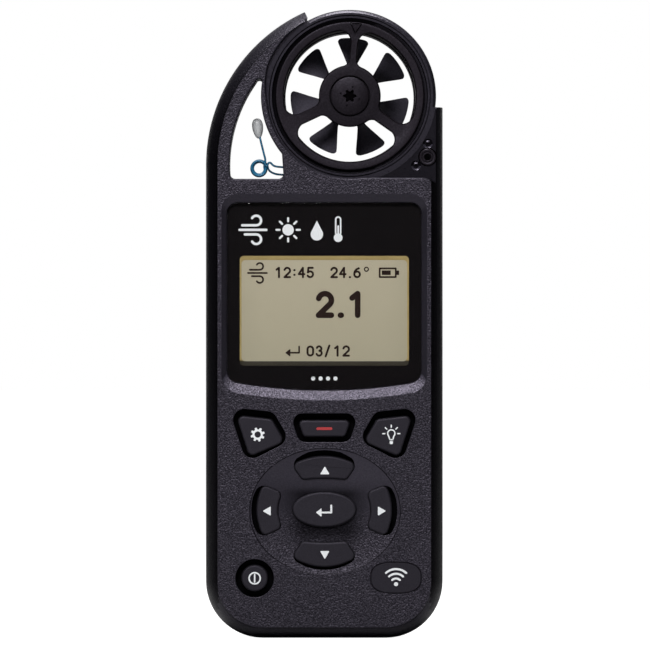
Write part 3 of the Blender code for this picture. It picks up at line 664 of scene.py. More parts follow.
def moulded(name, colour, roughness, grain_scale, grain_depth, marked=False, shininess=0.42):
    """Black moulded plastic: spark-eroded grain whose high spots shine, and faint cloudiness.

    A marked piece's grain attribute sets how strong the texture is: none of it leaves a polished face.
    The shade attribute paints shade into recesses, which the studio hardly lights, and below 0 it paints
    highlights onto edges.
    """
    look = Look(name)
    fine = look.noise(grain_scale, 2, 0.5)
    grain = look.math("ADD", look.times(look.cells(grain_scale), 0.9), fine)
    amount = look.attribute("grain") if marked else 0.35
    spots = look.times(look.between(grain, 0.65, 1.2, -1, 1), amount)
    cloud = look.mottle(0.9, 1.1, 0.09, 3)
    open_share = look.unshaded()
    tone = look.times(cloud, look.math("ADD", look.times(spots, 0.25), 1.0))
    tone = look.times(tone, open_share)
    shine = look.math("ADD", look.times(spots, 0.25), shininess)
    smooth = look.times(amount, 0.14) if marked else 0.08
    return look.set(
        color=look.blend(look.times(tone, 0.4), (0, 0, 0), tuple(c * 2.5 for c in colour)),
        roughness=look.math("ADD", look.between(fine, 0.35, 0.7, roughness - 0.08, roughness - 0.2), smooth),
        normal=look.bump(look.noise(0.12, 2), 0.05, 0.4, look.bump(grain, grain_depth, amount)),
        specular=look.times(shine, open_share), tint=COOL,
    )


def rubber(name, colour, roughness=0.62):
    """Silicone rubber: dull, with a very fine even tooth, and painted shade down in the key wells."""
    look = Look(name)
    tooth = look.noise(5.0, 2, 0.6)
    cloud = look.mottle(0.9, 1.1, 0.35, 2)
    open_share = look.unshaded()
    tone = look.times(look.times(cloud, look.between(tooth, 0.35, 0.7, 0.85, 1.15)), open_share)
    return look.set(
        color=look.blend(look.times(tone, 0.5), (0, 0, 0), tuple(c * 2 for c in colour)),
        roughness=look.between(tooth, 0.3, 0.7, roughness + 0.08, roughness - 0.08),
        normal=look.bump(tooth, 0.02, 0.7), specular=look.times(open_share, 0.33), tint=COOL,
    )


def ink(name, colour, roughness=0.5, rub=0.12, specular=0.5):
    """Printed ink with a slightly uneven coverage."""
    look = Look(name)
    thin = look.between(look.noise(3.0, 4, 0.7), 0.45, 0.85, 0.0, rub)
    worn = tuple(c * 0.75 for c in colour)
    return look.set(
        color=look.blend(thin, colour, worn),
        roughness=look.mottle(roughness - 0.05, roughness + 0.08, 8.0),
        normal=look.bump(look.noise(12.0), 0.008, 0.5), specular=specular,
    )


def metal(name, colour, tarnish, roughness):
    """Metal with fine tool marks and a little tarnish."""
    look = Look(name)
    marks = look.noise(4.0, 4, 0.65)
    spots = look.between(look.noise(0.7, 3), 0.35, 0.75)
    return look.set(
        color=look.blend(spots, colour, tarnish), metallic=1.0,
        roughness=look.between(marks, 0.3, 0.7, roughness - 0.07, roughness + 0.12),
        normal=look.bump(marks, 0.015, 0.35),
    )


def clear_lens():
    """Hard-coated clear plastic: it lets everything through and mirrors a little at a glance."""
    look = Look("lens_clear")
    glossy = look.add("ShaderNodeBsdfGlossy")
    look.put(glossy.inputs["Roughness"], look.mottle(0.05, 0.09, 0.2, 2))
    look.link(look.bump(look.noise(0.05, 1), 0.02, 0.3), glossy.inputs["Normal"])
    clear = look.add("ShaderNodeBsdfTransparent")
    fresnel = look.add("ShaderNodeFresnel")
    fresnel.inputs["IOR"].default_value = 1.22
    mix = look.add("ShaderNodeMixShader")
    look.link(fresnel.outputs[0], mix.inputs[0])
    look.link(clear.outputs[0], mix.inputs[1])
    look.link(glossy.outputs[0], mix.inputs[2])
    look.link(mix.outputs[0], look.output.inputs["Surface"])
    return look.material


def lcd_glass():
    """A reflective display's olive grey, with its faint grid of dots, painted light towards the top and
    painted shade falling off to the side edges.
    """
    look = Look("lcd_glass")
    x, z = look.axis("X"), look.axis("Z")
    pitch = 0.27

    def lines(axis):
        return look.math("GREATER_THAN", look.math("FRACT", look.math("DIVIDE", axis, pitch)), 0.86)

    grid = look.math("MAXIMUM", lines(x), lines(z))
    # painted light: the glass is lighter towards the top
    lit = look.blend(look.between(z, VIEW_BOTTOM, VIEW_TOP), (0.39, 0.355, 0.25), (0.44, 0.395, 0.285))
    lit = look.blend(look.times(grid, 0.10), lit, (0.12, 0.11, 0.08))
    # painted shade: darker towards the side edges
    edge = look.between(look.math("ABSOLUTE", x), 13.0, 17.5, 0.0, 0.25)
    return look.set(
        color=look.blend(edge, lit, (0.31, 0.285, 0.195)),
        roughness=look.mottle(0.42, 0.5, 2.0),
        normal=look.bump(look.noise(14.0), 0.004, 0.4),
    )


def lcd_edge():
    """The glass's bevelled edge: warm with painted light where the light falls on it, and painted shade
    along the bottom.
    """
    look = Look("lcd_edge")
    # painted shade: dark along the bottom of the edge
    low = look.between(look.axis("Z"), VIEW_BOTTOM + 0.9, VIEW_BOTTOM + 1.3)
    warm = look.blend(look.mottle(0, 1, 0.5), (0.36, 0.275, 0.11), (0.42, 0.32, 0.135))
    return look.set(
        color=look.blend(low, (0.030, 0.026, 0.017), warm), specular=0.1,
        roughness=look.mottle(0.35, 0.5, 5.0),
    )


def bead_glass():
    look = Look("bead_glass")
    swirl = look.between(look.noise(1.1, 4, 0.6), 0.3, 0.75)
    return look.set(
        color=look.blend(swirl, (0.92, 0.93, 0.95), (0.68, 0.70, 0.71)),
        roughness=look.mottle(0.16, 0.32, 3.0), coat=0.5,
        normal=look.bump(look.noise(1.6, 2), 0.03, 0.5),
    )


def insulation():
    look = Look("blue_insulation")
    tone = look.mottle(0, 1, 2.5, 3)
    return look.set(
        color=look.blend(tone, (0.010, 0.12, 0.25), (0.022, 0.20, 0.36)),
        roughness=look.mottle(0.25, 0.4, 6.0), coat=0.3,
        normal=look.bump(look.noise(5.0, 2), 0.01, 0.5),
    )


def circuit_board():
    """Green solder mask over a grid of copper tracks."""
    look = Look("circuit_board")
    tracks = look.add("ShaderNodeTexBrick")
    tracks.inputs["Scale"].default_value = 0.55
    tracks.inputs["Mortar Size"].default_value = 0.05
    for name, colour in (("Color1", 0.0), ("Color2", 0.25), ("Mortar", 1.0)):
        tracks.inputs[name].default_value = (colour, colour, colour, 1)
    look.link(look.place, tracks.inputs["Vector"])
    height = tracks.outputs["Color"]
    return look.set(
        color=look.blend(height, (0.006, 0.07, 0.03), (0.02, 0.17, 0.07)),
        roughness=look.mottle(0.3, 0.45, 2.0), coat=0.4,
        normal=look.bump(height, 0.035, 0.6),
    )


def winding():
    """Enamelled wire wound in tight turns."""
    look = Look("coil_winding")
    wave = look.add("ShaderNodeTexWave", bands_direction="Z")
    wave.inputs["Scale"].default_value = 2.4
    wave.inputs["Distortion"].default_value = 0.4
    look.link(look.place, wave.inputs["Vector"])
    turns = wave.outputs["Fac"]
    return look.set(
        color=look.blend(turns, (0.30, 0.09, 0.03), (0.72, 0.32, 0.14)), metallic=0.9,
        roughness=look.between(turns, 0, 1, 0.45, 0.25), normal=look.bump(turns, 0.08, 0.8),
    )


def cell_sleeve():
    """The battery's printed sleeve: a plain dark body with a copper-toned shoulder, no lettering."""
    look = Look("cell_sleeve")
    z = look.axis("Z")
    low, high = limits("aa_battery")
    shoulder = look.math("GREATER_THAN", z, high.z - 14)
    foot = look.math("LESS_THAN", z, low.z + 0.5)
    ends = look.math("ADD", foot, look.math("GREATER_THAN", z, high.z - 1.6), True)
    body = look.blend(look.mottle(0, 1, 0.3), (0.018, 0.02, 0.024), (0.03, 0.033, 0.04))
    colour = look.blend(shoulder, body, (0.42, 0.20, 0.07))
    return look.set(
        color=look.blend(ends, colour, (0.62, 0.62, 0.60)),
        metallic=look.math("MAXIMUM", ends, look.times(shoulder, 0.85)),
        roughness=look.mottle(0.22, 0.38, 4.0, 3, 0.6, (1, 1, 0.1)),
        normal=look.bump(look.noise(1.2, 2), 0.02, 0.3),
    )


def jewel():
    look = Look("ruby_jewel")
    depth = look.mottle(0, 1, 1.5, 2)
    return look.set(
        color=look.blend(depth, (0.30, 0.005, 0.03), (0.55, 0.02, 0.08)),
        roughness=look.mottle(0.05, 0.12, 6.0),
        coat=1.0,
    )


def make_looks():
    steel = metal("steel", (0.55, 0.55, 0.57), (0.42, 0.42, 0.43), 0.28)
    return {
        "case": moulded("case_plastic", (0.0115, 0.0105, 0.0148), 0.46, 3.4, 0.13, marked=True),
        "side": moulded("rear_plastic", (0.0115, 0.0105, 0.0148), 0.52, 3.0, 0.05),
        "guard": moulded("guard_plastic", (0.0062, 0.0046, 0.0062), 0.48, 4.0, 0.01, shininess=0.26),
        "blade": moulded("impeller_plastic", (0.050, 0.046, 0.060), 0.7, 4.0, 0.008, shininess=0.15),
        "key": rubber("key_rubber", (0.0098, 0.0092, 0.012)),
        "seal": rubber("seal_rubber", (0.006, 0.006, 0.006), 0.75),
        "white_ink": ink("white_ink", (0.80, 0.82, 0.84)),
        "red_ink": ink("red_ink", (0.40, 0.025, 0.028)),
        "mask_ink": ink("mask_ink", (0.004, 0.003, 0.0036), 0.7, 0.2, 0.05),
        "lcd_ink": ink("lcd_ink", (0.022, 0.013, 0.011), 0.6, 0.25, 0.03),
        "lens": clear_lens(),
        "lcd": lcd_glass(),
        "lcd_edge": lcd_edge(),
        "frame": moulded("frame_plastic", (0.02, 0.02, 0.02), 0.5, 3.0, 0.02),
        "guide": ink("light_guide", (0.75, 0.76, 0.72), 0.3, 0.1),
        "chip": moulded("chip_plastic", (0.012, 0.012, 0.013), 0.5, 4.0, 0.01),
        "board": circuit_board(),
        "steel": steel,
        "brass": metal("brass", (0.72, 0.50, 0.20), (0.50, 0.33, 0.12), 0.26),
        "coil": winding(),
        "cell": cell_sleeve(),
        "jewel": jewel(),
        "bead": bead_glass(),
        "blue": insulation(),
    }


LOOK = make_looks()


# ---------------------------------------------------------------- keys
SETTINGS_HOLE = [(-19.3, 46.69), (-15.66, 35.55), (-6.95, 40.0), (-10.29, 45.78)]
SETTINGS_CAP = [(-17.68, 44.97), (-15.05, 36.86), (-8.16, 39.8), (-10.69, 44.16)]
CAPTURE_HOLE = [(-6.9, 45.47), (-5.05, 39.7), (5.05, 39.7), (6.9, 45.47)]
CAPTURE_CAP = [(-5.2, 43.95), (-4.1, 40.92), (4.1, 40.92), (5.2, 43.95)]
UP_CAP = [(-6.4, 35.1), (-4.4, 32.2), (4.4, 32.2), (6.4, 35.1)]
DOWN_CAP = [(-4.4, 19.6), (-6.4, 16.5), (6.4, 16.5), (4.4, 19.6)]
LEFT_CAP = [(-12.3, 31.0), (-12.3, 20.8), (-8.6, 22.5), (-8.6, 29.4)]
STRAIGHT = (0, 0, 0, 0)
PAD_GAP = 0.22
PAD_OUTER_GAPS = {"up": 1.1, "down": 0.45, "left": 0.95}  # left holds for right as well


def pushed(cap, x, z, gap):
    """A direction key's opening: a thin gap all round, wider on the side away from the pad's centre."""
    opening = grown(cap, PAD_GAP)
    reach = [px * x + pz * z for px, pz in cap]
    low, high = min(reach), max(reach)
    moved = []
    for (px, pz), r in zip(opening, reach):
        share = min(max((r - low) / (high - low) * 2.2 - 1.0, 0), 1)
        moved.append((px + x * gap * share, pz + z * gap * share))
    return moved


def key_shapes():
    """Each key's cap outline and opening outline, by node name."""
    settings = panel(SETTINGS_CAP, STRAIGHT, 1.0), panel(SETTINGS_HOLE, STRAIGHT, 2.2)
    capture = panel(CAPTURE_CAP, STRAIGHT, 0.7), panel(CAPTURE_HOLE, STRAIGHT, 1.8)
    up = panel(UP_CAP, (0, -0.3, 0, 1.66), 1.0)
    down = panel(DOWN_CAP, (0, 1.9, 0, -0.3), 1.0)
    left = panel(LEFT_CAP, (1.25, 0, -0.86, 0), 1.0)
    left_opening = pushed(left, -1, 0, PAD_OUTER_GAPS["left"])
    enter = oval(middle("key_enter"), 6.3, 3.4)
    power = middle("key_power")
    return {
        "key_settings": settings,
        "key_light": tuple(mirrored(outline) for outline in settings),
        "key_capture": capture,
        "key_power": (circle(power, 2.53), circle(power, 3.85)),
        "key_up": (up, pushed(up, 0, 1, PAD_OUTER_GAPS["up"])),
        "key_down": (down, pushed(down, 0, -1, PAD_OUTER_GAPS["down"])),
        "key_left": (left, left_opening),
        "key_right": (mirrored(left), mirrored(left_opening)),
        "key_enter": (enter, grown(enter, PAD_GAP)),
    }


KEYS = key_shapes()


def key_cap(name, cap, opening):
    """Flange under the plate that closes the opening, upright skirt and a softly edged cap."""
    low, high = limits(name)
    face, back = low.y, high.y
    edge = 0.42
    rings = [(grown(cap, 0.35), back - 0.1), (grown(cap, 0.35), back - 0.65)]
    rings += [(grown(cap, 0.12 - edge * inward), face + edge * drop) for inward, drop in quarter_round(5)]
    key = mesh_object(name + "_cap", merged(loft(rings), prism(grown(opening, 0.45), back - 0.6, back)))
    mark(key, "shade", lambda place, _: ramp(place.y, face + 0.35, face + 0.75))
    finish(key, LOOK["key"], name, [name], 40)


# ---------------------------------------------------------------- icons
def inlay(name, outlines, face, look, body="root", proud=0.02, sunk=0.05):
    """Flat printed shapes; a pair of outlines of equal length is a ring."""
    solids = []
    for i, outline in enumerate(outlines):
        front = face - proud - 0.002 * (i % 4)  # so that neighbours don't share a plane
        if isinstance(outline, tuple):
            outer, inner = outline
            solids.append(loft([
                (outer, front), (outer, face + sunk), (inner, face + sunk), (inner, front),
            ], hollow=True))
        else:
            solids.append(prism(outline, front, face + sunk))
    return piece(name, merged(*solids), look, body, ())


def gear(centre, radius):
    outline = []
    teeth = 8
    steps = teeth * 8
    for i in range(steps):
        out = (i % 8) in (1, 2, 3, 4)
        outline.append(polar(centre, radius if out else radius * 0.74, 360 * (i + 0.5) / steps))
    return outline, circle(centre, radius * 0.44, steps)


def ring(centre, radius, width, steps=48):
    return circle(centre, radius + width / 2, steps), circle(centre, radius - width / 2, steps)


def triangle(centre, size, angle):
    """A triangle with slightly rounded corners, pointing along angle."""
    corners = [polar(centre, size, angle + turn) for turn in (0, 120, 240)]
    return panel(corners, (0, 0, 0), 0.12, 2)


def rays(centre, near, far, angles, width):
    return [stroke([polar(centre, near, a), polar(centre, far, a)], width) for a in angles]


def bulb(centre):
    x, z = centre
    glass = filleted([
        arc((x, z + 0.2), 0.86, -40, 220, 20),
        [polar((x, z + 0.2), 0.86, 220), (x - 0.38, z - 1.2)],
        [(x - 0.38, z - 1.2), (x + 0.38, z - 1.2)],
        [(x + 0.38, z - 1.2), polar((x, z + 0.2), 0.86, -40)],
    ], [0.1, 0.1, 0.1, 0.1])
    socket = rounded_box(x - 0.32, x + 0.32, z - 1.95, z - 1.35, 0.2, 0.05, 4)
    return [(glass, grown(glass, -0.26)), socket] + rays((x, z + 0.15), 1.3, 1.72, range(0, 181, 45), 0.25)


def return_arrow(centre, size):
    x, z = centre
    barb = x - 0.3 * size
    head = panel([(x - size, z), (barb, z - 0.55 * size), (barb, z + 0.55 * size)], STRAIGHT, 0.1, 2)
    path = [(x - 0.35 * size, z), (x + 0.88 * size, z), (x + 0.88 * size, z + 0.85 * size)]
    return [head, stroke(path[:2], 0.22 * size), stroke(path[1:], 0.22 * size)]


def wireless(centre):
    """Three arcs spreading from a dot."""
    x, z = centre
    low = (x, z - 1.3)
    arcs = [stroke(arc(low, r, 48, 132, 12), 0.42) for r in (1.15, 2.1, 3.05)]
    return [circle(low, 0.42, 20)] + arcs


def gust(centre, size, width):
    """Three lines of wind, the outer two ending in a curl."""
    x, z = centre
    left, right = x - size, x + 0.25 * size
    r = 0.36 * size

    def curl(start, side):
        line = z + side * 0.34 * size
        end = arc((right, line + side * r), r, -90 * side, 150 * side, 12)[1:]
        return stroke([(left + start * size, line), (right, line)] + end, width)

    return [curl(0.2, 1), stroke([(left, z), (x + size, z)], width), curl(0.4, -1)]


def sun(centre, radius, width):
    return [circle(centre, radius, 32)] + rays(centre, radius * 1.5, radius * 2.05, range(0, 360, 45), width)


def drop(centre, radius):
    x, z = centre
    side = arc(centre, radius, -90, 28, 14)
    return side + [(x, z + 2.2 * radius)] + [(2 * x - px, pz) for px, pz in reversed(side)][:-1]


def thermometer(centre, size, width):
    x, z = centre
    tube = stroke([(x, z - 0.3 * size), (x, z + size)], 2.6 * width)
    return [(tube, grown(tube, -0.62 * width)), circle((x, z - 0.75 * size), 0.42 * size, 24),
            stroke([(x, z - 0.6 * size), (x, z + 0.35 * size)], 0.7 * width)]


def key_icons():
    white = LOOK["white_ink"]
    x, z = -13.43, 41.22
    marks = {
        "key_settings": [gear((x, z), 1.42)],
        "key_light": bulb((13.5, 41.25)),
        "key_up": [triangle((0.1, 33.75), 1.1, 90)],
        "key_down": [triangle((0.1, 17.2), 1.1, -90)],
        "key_left": [triangle((-11.35, 25.8), 1.1, 180)],
        "key_right": [triangle((11.35, 25.8), 1.1, 0)],
        "key_enter": return_arrow((-0.05, 25.5), 1.65),
        "key_power": [ring(middle("key_power"), 1.12, 0.3), stroke([(-14.04, 11.5), (-14.04, 13.0)], 0.3)],
    }
    for key, outlines in marks.items():
        inlay(key + "_icon", outlines, limits(key)[0].y, white, key)
    bar = rounded_box(-1.6, 1.6, 42.15, 42.68, 0.24, 0.24, 5)
    inlay("key_capture_icon", [bar], limits("key_capture")[0].y, LOOK["red_ink"], "key_capture")


# ---------------------------------------------------------------- front shell
def band_rings():
    """The case's side from the parting line forward, curving in to the raised plate."""
    def ring_inset(y):
        share = min(max((SEAT + RING_ROUNDING[1] - y) / RING_ROUNDING[1], 0), 1)
        return RING_ROUNDING[0] * (1 - math.sqrt(1 - share ** 2))

    levels = [(0.0, SPLIT_FRONT), (0.0, BAND_START)]
    for step in range(1, 17):
        a = math.radians(BAND_TURN * step / 16)
        levels.append((BAND_REACH[0] * (1 - math.cos(a)), BAND_START - BAND_REACH[1] * math.sin(a)))
    edge = levels[-1][1]
    levels += [
        (PLATE_INSET - 0.10, edge + 0.12),
        (PLATE_INSET - 0.02, FRONT + 0.12),
        (PLATE_INSET + 0.04, FRONT + 0.03),
        (PLATE_INSET + 0.14, FRONT),
    ]
    return [(case_outline(inset, ring_inset(y)), y) for inset, y in levels]


def flared(outline, deep, rim, lip=0.14):
    """A cutter along Y that opens out by a rounded lip where it meets the surface at y = rim."""
    toward = 1 if deep > rim else -1
    return loft([
        (outline, deep),
        (outline, rim + toward * lip),
        (grown(outline, lip * 0.3), rim + toward * lip * 0.3),
        (grown(outline, lip), rim),
        (grown(outline, lip * 1.6), rim - toward),
    ])


def seat_cutter():
    return loft([
        (seat_outline(0.0), SEAT),
        (seat_outline(0.12), FRONT + 0.28),
        (seat_outline(0.2), FRONT + 0.1),
        (seat_outline(0.36), FRONT),
        (seat_outline(0.5), FRONT - 1),
    ])


def seat_corner():
    """Cuts the polished corner beside the air ring a hair deeper than the ring's own face."""
    shoulder = (HALF_WIDTH - PLATE_SHOULDER_R, PLATE_TOP - PLATE_SHOULDER_R)
    low_angle = math.degrees(math.asin((PLATE_TOP - AIR_CENTRE[1]) / AIR_RING_R))
    ring_edge = arc(AIR_CENTRE, AIR_RING_R, low_angle, STEP_ANGLE, 40)
    outline = [(HALF_WIDTH + 4, shoulder[1])] + arc(shoulder, PLATE_SHOULDER_R, 0, 90, 12) + ring_edge
    return prism(outline + [(HALF_WIDTH + 4, ring_edge[-1][1])], FRONT - 1, SEAT + 0.1)


def display_cutter():
    return loft([
        (lens_outline(0.12), FRONT + 2.1),
        (lens_outline(0.12), LENS_LOW.y + 0.05),
        (lens_outline(0.24, 0.05, 0.05), LENS_LOW.y - 0.04),
        (lens_outline(1.0, 0.6, 0.88), FRONT + 0.05),
        (lens_outline(1.12, 0.66, 0.95), FRONT),
        (lens_outline(1.3, 0.7, 1.0), FRONT - 1),
    ])


def pad_dish():
    """A shallow bowl around the direction keys, meeting the plate at a crease."""
    rings = []
    steps = 14
    for i in range(steps + 1):
        share = 0.04 + 0.96 * i / steps
        depth = PAD_DEPTH * (1 - share ** 2.4) ** 0.9 + 0.14
        rings.append((oval(PAD_CENTRE, PAD_HALF_X * share, PAD_HALF_Z * share, 96), FRONT + depth))
    rings.append((oval(PAD_CENTRE, PAD_HALF_X + 0.17, PAD_HALF_Z + 0.17, 96), FRONT))
    rings.append((oval(PAD_CENTRE, PAD_HALF_X + 0.3, PAD_HALF_Z + 0.3, 96), FRONT - 1))
    return loft(rings)


def bore_cutter(front, back):
    """The impeller's bore with its counterbores, from y = front to y = back."""
    r = BORE_R
    lip = GUARD_OUTER_R + 0.07  # in front of the guard's rib, so that no light shows round it
    profile = [
        (0, front - 1), (r + 0.75, front - 1), (r + 0.5, front), (r + 0.36, front + 0.15),
        (r + 0.3, front + 0.9),
        (lip, front + 1.0), (lip, front + 1.7), (r, front + 1.8), (r, back + 1), (0, back + 1),
    ]
    return air_solid(profile, ROUND_STEPS)


def pad_share(x, z):
    """How far a place is from the middle of the direction pad, 1 at its rim."""
    return math.hypot((x - PAD_CENTRE[0]) / PAD_HALF_X, (z - PAD_CENTRE[1]) / PAD_HALF_Z)


def grain_at(place, face):
    """How strongly the front shell's mould texture shows, from 0 to 1."""
    centre, normal = face.center / MM, face.normal
    if pad_share(centre.x, centre.z) < 0.999 and normal.y < -0.3:
        return 0.2 + 0.8 * ramp(PAD_CENTRE[1] - place.z, -1.5, 3.0)
    if normal.y < -0.99 and centre.y < FRONT + 0.03:
        return 1.0
    if centre.y > SEAT - 0.2 and normal.y < -0.9:
        return 0.0
    in_display = abs(centre.x) < 21 and 47.5 < centre.z < 90
    if in_display and normal.y < -0.2:
        return 0.8 if normal.z > 0.2 else 0.12
    shoulder = centre.x < 0 and centre.z > 98
    return 0.75 if shoulder and normal.z > 0.05 else 0.3


def band_shade(place):
    """Painted shade on the side band: darkest at the plate, lightening to the foot and to the shoulder's
    tip.
    """
    foot_x = abs(place.x) - (HALF_WIDTH - CORNER_R)
    across = 1.0
    if place.z < CORNER_R:
        across = foot_x / max(math.hypot(foot_x, place.z - CORNER_R), 0.01)
    elif place.z > SHOULDER_CENTRE[1]:
        dx, dz = place.x - SHOULDER_CENTRE[0], place.z - SHOULDER_CENTRE[1]
        across = abs(dx) / math.hypot(dx, dz)
    depth = 0.95 - 0.4 * ramp(place.y, FRONT, BAND_START)
    return depth * ramp(across, 0.45, 1.0) * (1 - ramp(place.y, BAND_START, SPLIT_FRONT))


def pad_shade(place):
    """Painted shade just above and below the middle key, where the bowl turns away from the light, and
    painted light higher up the bowl.
    """
    beside = 1 - ramp(abs(place.x - PAD_CENTRE[0]), 4.5, 9.0)
    below = PAD_CENTRE[1] - place.z
    if below < 0:
        return (1 - ramp(-below, 3.6, 5.0)) * 0.8 * beside - 0.35 * ramp(-below, 4.0, 7.0)
    return (1 - ramp(below, 4.0, 8.5)) * 0.85 * beside


def shade_at(place, face):
    """How much of the light a place on the front shell misses: 1 is dark, and below 0 it is lit more."""
    centre, normal = face.center / MM, face.normal
    off_axis = math.hypot(centre.x - AIR_CENTRE[0], centre.z - AIR_CENTRE[1])
    in_keypad = abs(centre.x) < KEYPAD_HALF_WIDTH and KEYPAD_LOW < centre.z < KEYPAD_HIGH
    if in_keypad and normal.y > -0.5:
        return ramp(place.y, FRONT + 0.05, FRONT + 0.5)
    if pad_share(centre.x, centre.z) < 0.999:
        return pad_shade(place)
    if pad_share(centre.x, centre.z) < 1.02 and normal.y > -0.97:
        return 0.75
    if min(math.dist((centre.x, centre.z), spot) for spot in DETENTS) < 1.25 and centre.y > SEAT + 0.11:
        return -1.5 if normal.z > 0.15 else 0.9
    if centre.x > 10 and centre.z > 88 and centre.y > SEAT + 0.07 and normal.y < -0.97:
        return 0.6
    if off_axis < 16.4 and (place.y > SEAT + 0.12 or off_axis < 15.75 and normal.y > -0.97):
        return 0.92
    if abs(centre.x) < 20.5 and 47 < centre.z < 56 and 0.15 < normal.z < 0.9 and normal.y < -0.3:
        return -1.4
    outside = abs(centre.x) > HALF_WIDTH - 2.6 or centre.z < 2.6
    outside = outside or (centre.x < -4 and centre.z > SHOULDER_CENTRE[1] and math.dist(
        (centre.x, centre.z), SHOULDER_CENTRE) > SHOULDER_R - 2.6)
    if outside and normal.y > -0.97 and off_axis > AIR_RING_R:
        return band_shade(place)
    return 0.0


def front_case():
    shell = mesh_object("front_case", loft(band_rings()))
    carve(
        shell,
        seat_cutter(),
        seat_corner(),
        prism(rounded_box(*KEYPAD_ROOM, 9.1, 1), KEYPAD_CEILING, SPLIT_FRONT + 1),
        prism(cavity_outline(), DISPLAY_CEILING, SPLIT_FRONT + 1),
    )
    for place in SCREWS:
        weld(shell, prism(circle(place, SCREW_BOSS_R, 32), KEYPAD_CEILING - 0.4, SPLIT_FRONT - 0.01))
        carve(shell, prism(circle(place, 1.0, 24), FRONT + 4, SPLIT_FRONT + 1))
    window = sensor_outline()
    inner, outer = RING_GROOVE
    carve(
        shell,
        bore_cutter(SEAT, SPLIT_FRONT),
        air_turned([
            (inner, SEAT - 1), (outer, SEAT - 1), (outer, SEAT + 0.3), (inner, SEAT + 0.3),
        ], ROUND_STEPS),
        loft([
            (grown(window, 0.05), SPLIT_FRONT + 1), (grown(window, 0.05), FRONT + 0.9),
            (window, FRONT + 0.3),
            (grown(window, 0.14), FRONT + 0.08), (grown(window, 0.34), FRONT),
            (grown(window, 0.5), FRONT - 1),
        ]),
        display_cutter(),
        prism(rounded_box(*LCD_ROOM, 0.6, 0.6), FRONT + 1.7, DISPLAY_CEILING + 1),
        pad_dish(),
    )
    for name, (_, opening) in KEYS.items():
        if name in ("key_settings", "key_light", "key_capture", "key_power"):
            carve(shell, flared(opening, KEYPAD_CEILING + 1, FRONT, 0.16))
        else:
            carve(shell, prism(opening, KEYPAD_CEILING + 1, FRONT - 1))
    carve(shell, flared(data_outline(0.22), FRONT + 0.7, FRONT, 0.06))
    pivot_hole = [(0, SEAT - 1), (2.0, SEAT - 1), (1.9, SEAT + 0.1), (1.9, SEAT + 2.8), (0, SEAT + 2.8)]
    carve(shell, spun(pivot_hole, PIVOT, 48))
    cone = [
        (0, SEAT - 1), (1.2, SEAT - 1), (1.1, SEAT), (0.62, SEAT + 0.45), (0.36, SEAT + 0.4),
        (0.34, SEAT + 0.9),
        (0, SEAT + 0.9),
    ]
    for spot in DETENTS:
        carve(shell, spun(cone, spot, 40))
    carve(shell, block((-9.5, -6.2, 92.9), (-5.5, SPLIT_FRONT + 1, 96.6)))
    mark(shell, "grain", grain_at)
    mark(shell, "shade", shade_at)
    finish(shell, LOOK["case"], "root", ["front_shell"], 28)


def data_outline(grow=0.0):
    return oval(DATA_OVAL, 5.0 + grow, 3.05 + grow, 72, 2.7)


# ---------------------------------------------------------------- rear shell
def hump_rings():
    """The battery hump: a short upright foot, then a quarter ellipse up to its flat back."""
    rings = []
    for step in range(11):
        angle = math.radians(90 * step / 10)
        inset = 3.96 * (1 - math.cos(angle))
        half, rise, corner = HUMP_HALF_WIDTH - inset, inset * 0.75, 6 - inset / 2
        outline = rounded_box(-half, half, HUMP_BOTTOM + rise, HUMP_TOP - rise, corner, corner, 12)
        rings.append((outline, REAR_WALL + 2.0 + (BACK - REAR_WALL - 2.0) * math.sin(angle)))
    half = HUMP_HALF_WIDTH + HUMP_FLARE
    foot = rounded_box(-half, half, HUMP_BOTTOM - HUMP_FLARE, HUMP_TOP + HUMP_FLARE, 6.4, 6.4, 12)
    above_foot = (grown(rings[0][0], 0.08), REAR_WALL + 0.4)
    return [(foot, REAR_WALL - 0.8), (foot, REAR_WALL + 0.02), above_foot] + rings


def rear_case():
    edge = 1.6
    rounding = [(case_outline(edge * inward), REAR_WALL - edge * drop) for inward, drop in quarter_round(6)]
    shell = mesh_object("rear_case", loft([(case_outline(), SPLIT_REAR)] + rounding))
    weld(shell, loft(hump_rings()))
    carve(shell, prism(cavity_outline(), SPLIT_REAR - 1, REAR_WALL - 1.8))
    weld(shell, block((-9.2, -4.6, 10.6), (9.2, REAR_WALL - 0.5, 71.0)))
    carve(
        shell,
        block(BAY_LOW, BAY_HIGH),
        flared(rounded_box(-10.1, 10.1, 0, 76.6, 1, 3.3), 12.0, BACK, 0.15),
    )
    for place in SCREWS:
        weld(shell, prism(circle(place, SCREW_BOSS_R, 32), SPLIT_REAR + 0.01, REAR_WALL - 1))
        carve(shell, prism(circle(place, 1.2, 24), SPLIT_REAR - 1, REAR_WALL + 1))
        carve(shell, flared(circle(place, 2.0, 40), REAR_WALL - 2.2, REAR_WALL, 0.15))
    window = sensor_outline()
    carve(
        shell,
        loft([
            (grown(window, 0.1), SPLIT_REAR - 1), (grown(window, 0.1), REAR_WALL - 0.4),
            (grown(window, 0.5), REAR_WALL), (grown(window, 0.7), REAR_WALL + 1),
        ]),
        air_solid([
            (0, SPLIT_REAR - 1), (BORE_R, SPLIT_REAR - 1), (BORE_R, REAR_WALL - 0.4),
            (BORE_R + 0.4, REAR_WALL),
            (BORE_R + 0.6, REAR_WALL + 1), (0, REAR_WALL + 1),
        ], ROUND_STEPS),
        rod((0, HINGE_Y, HINGE_Z), 1.9, -5.4, 5.4),
        prism(circle(LATCH, 2.3, 40), 9.8, 13.0),
        flared(circle(INSERT, 4.2, 64), REAR_WALL - 0.5, BACK, 0.2),
    )
    for i in range(6):
        carve(shell, prism(circle(polar(VENT, 1.15, 60 * i), 0.42, 20), 3.0, REAR_WALL + 1))
    carve(shell, prism(circle(VENT, 0.42, 20), 3.0, REAR_WALL + 1))
    finish(shell, LOOK["side"], "root", ["rear_shell"], 28)


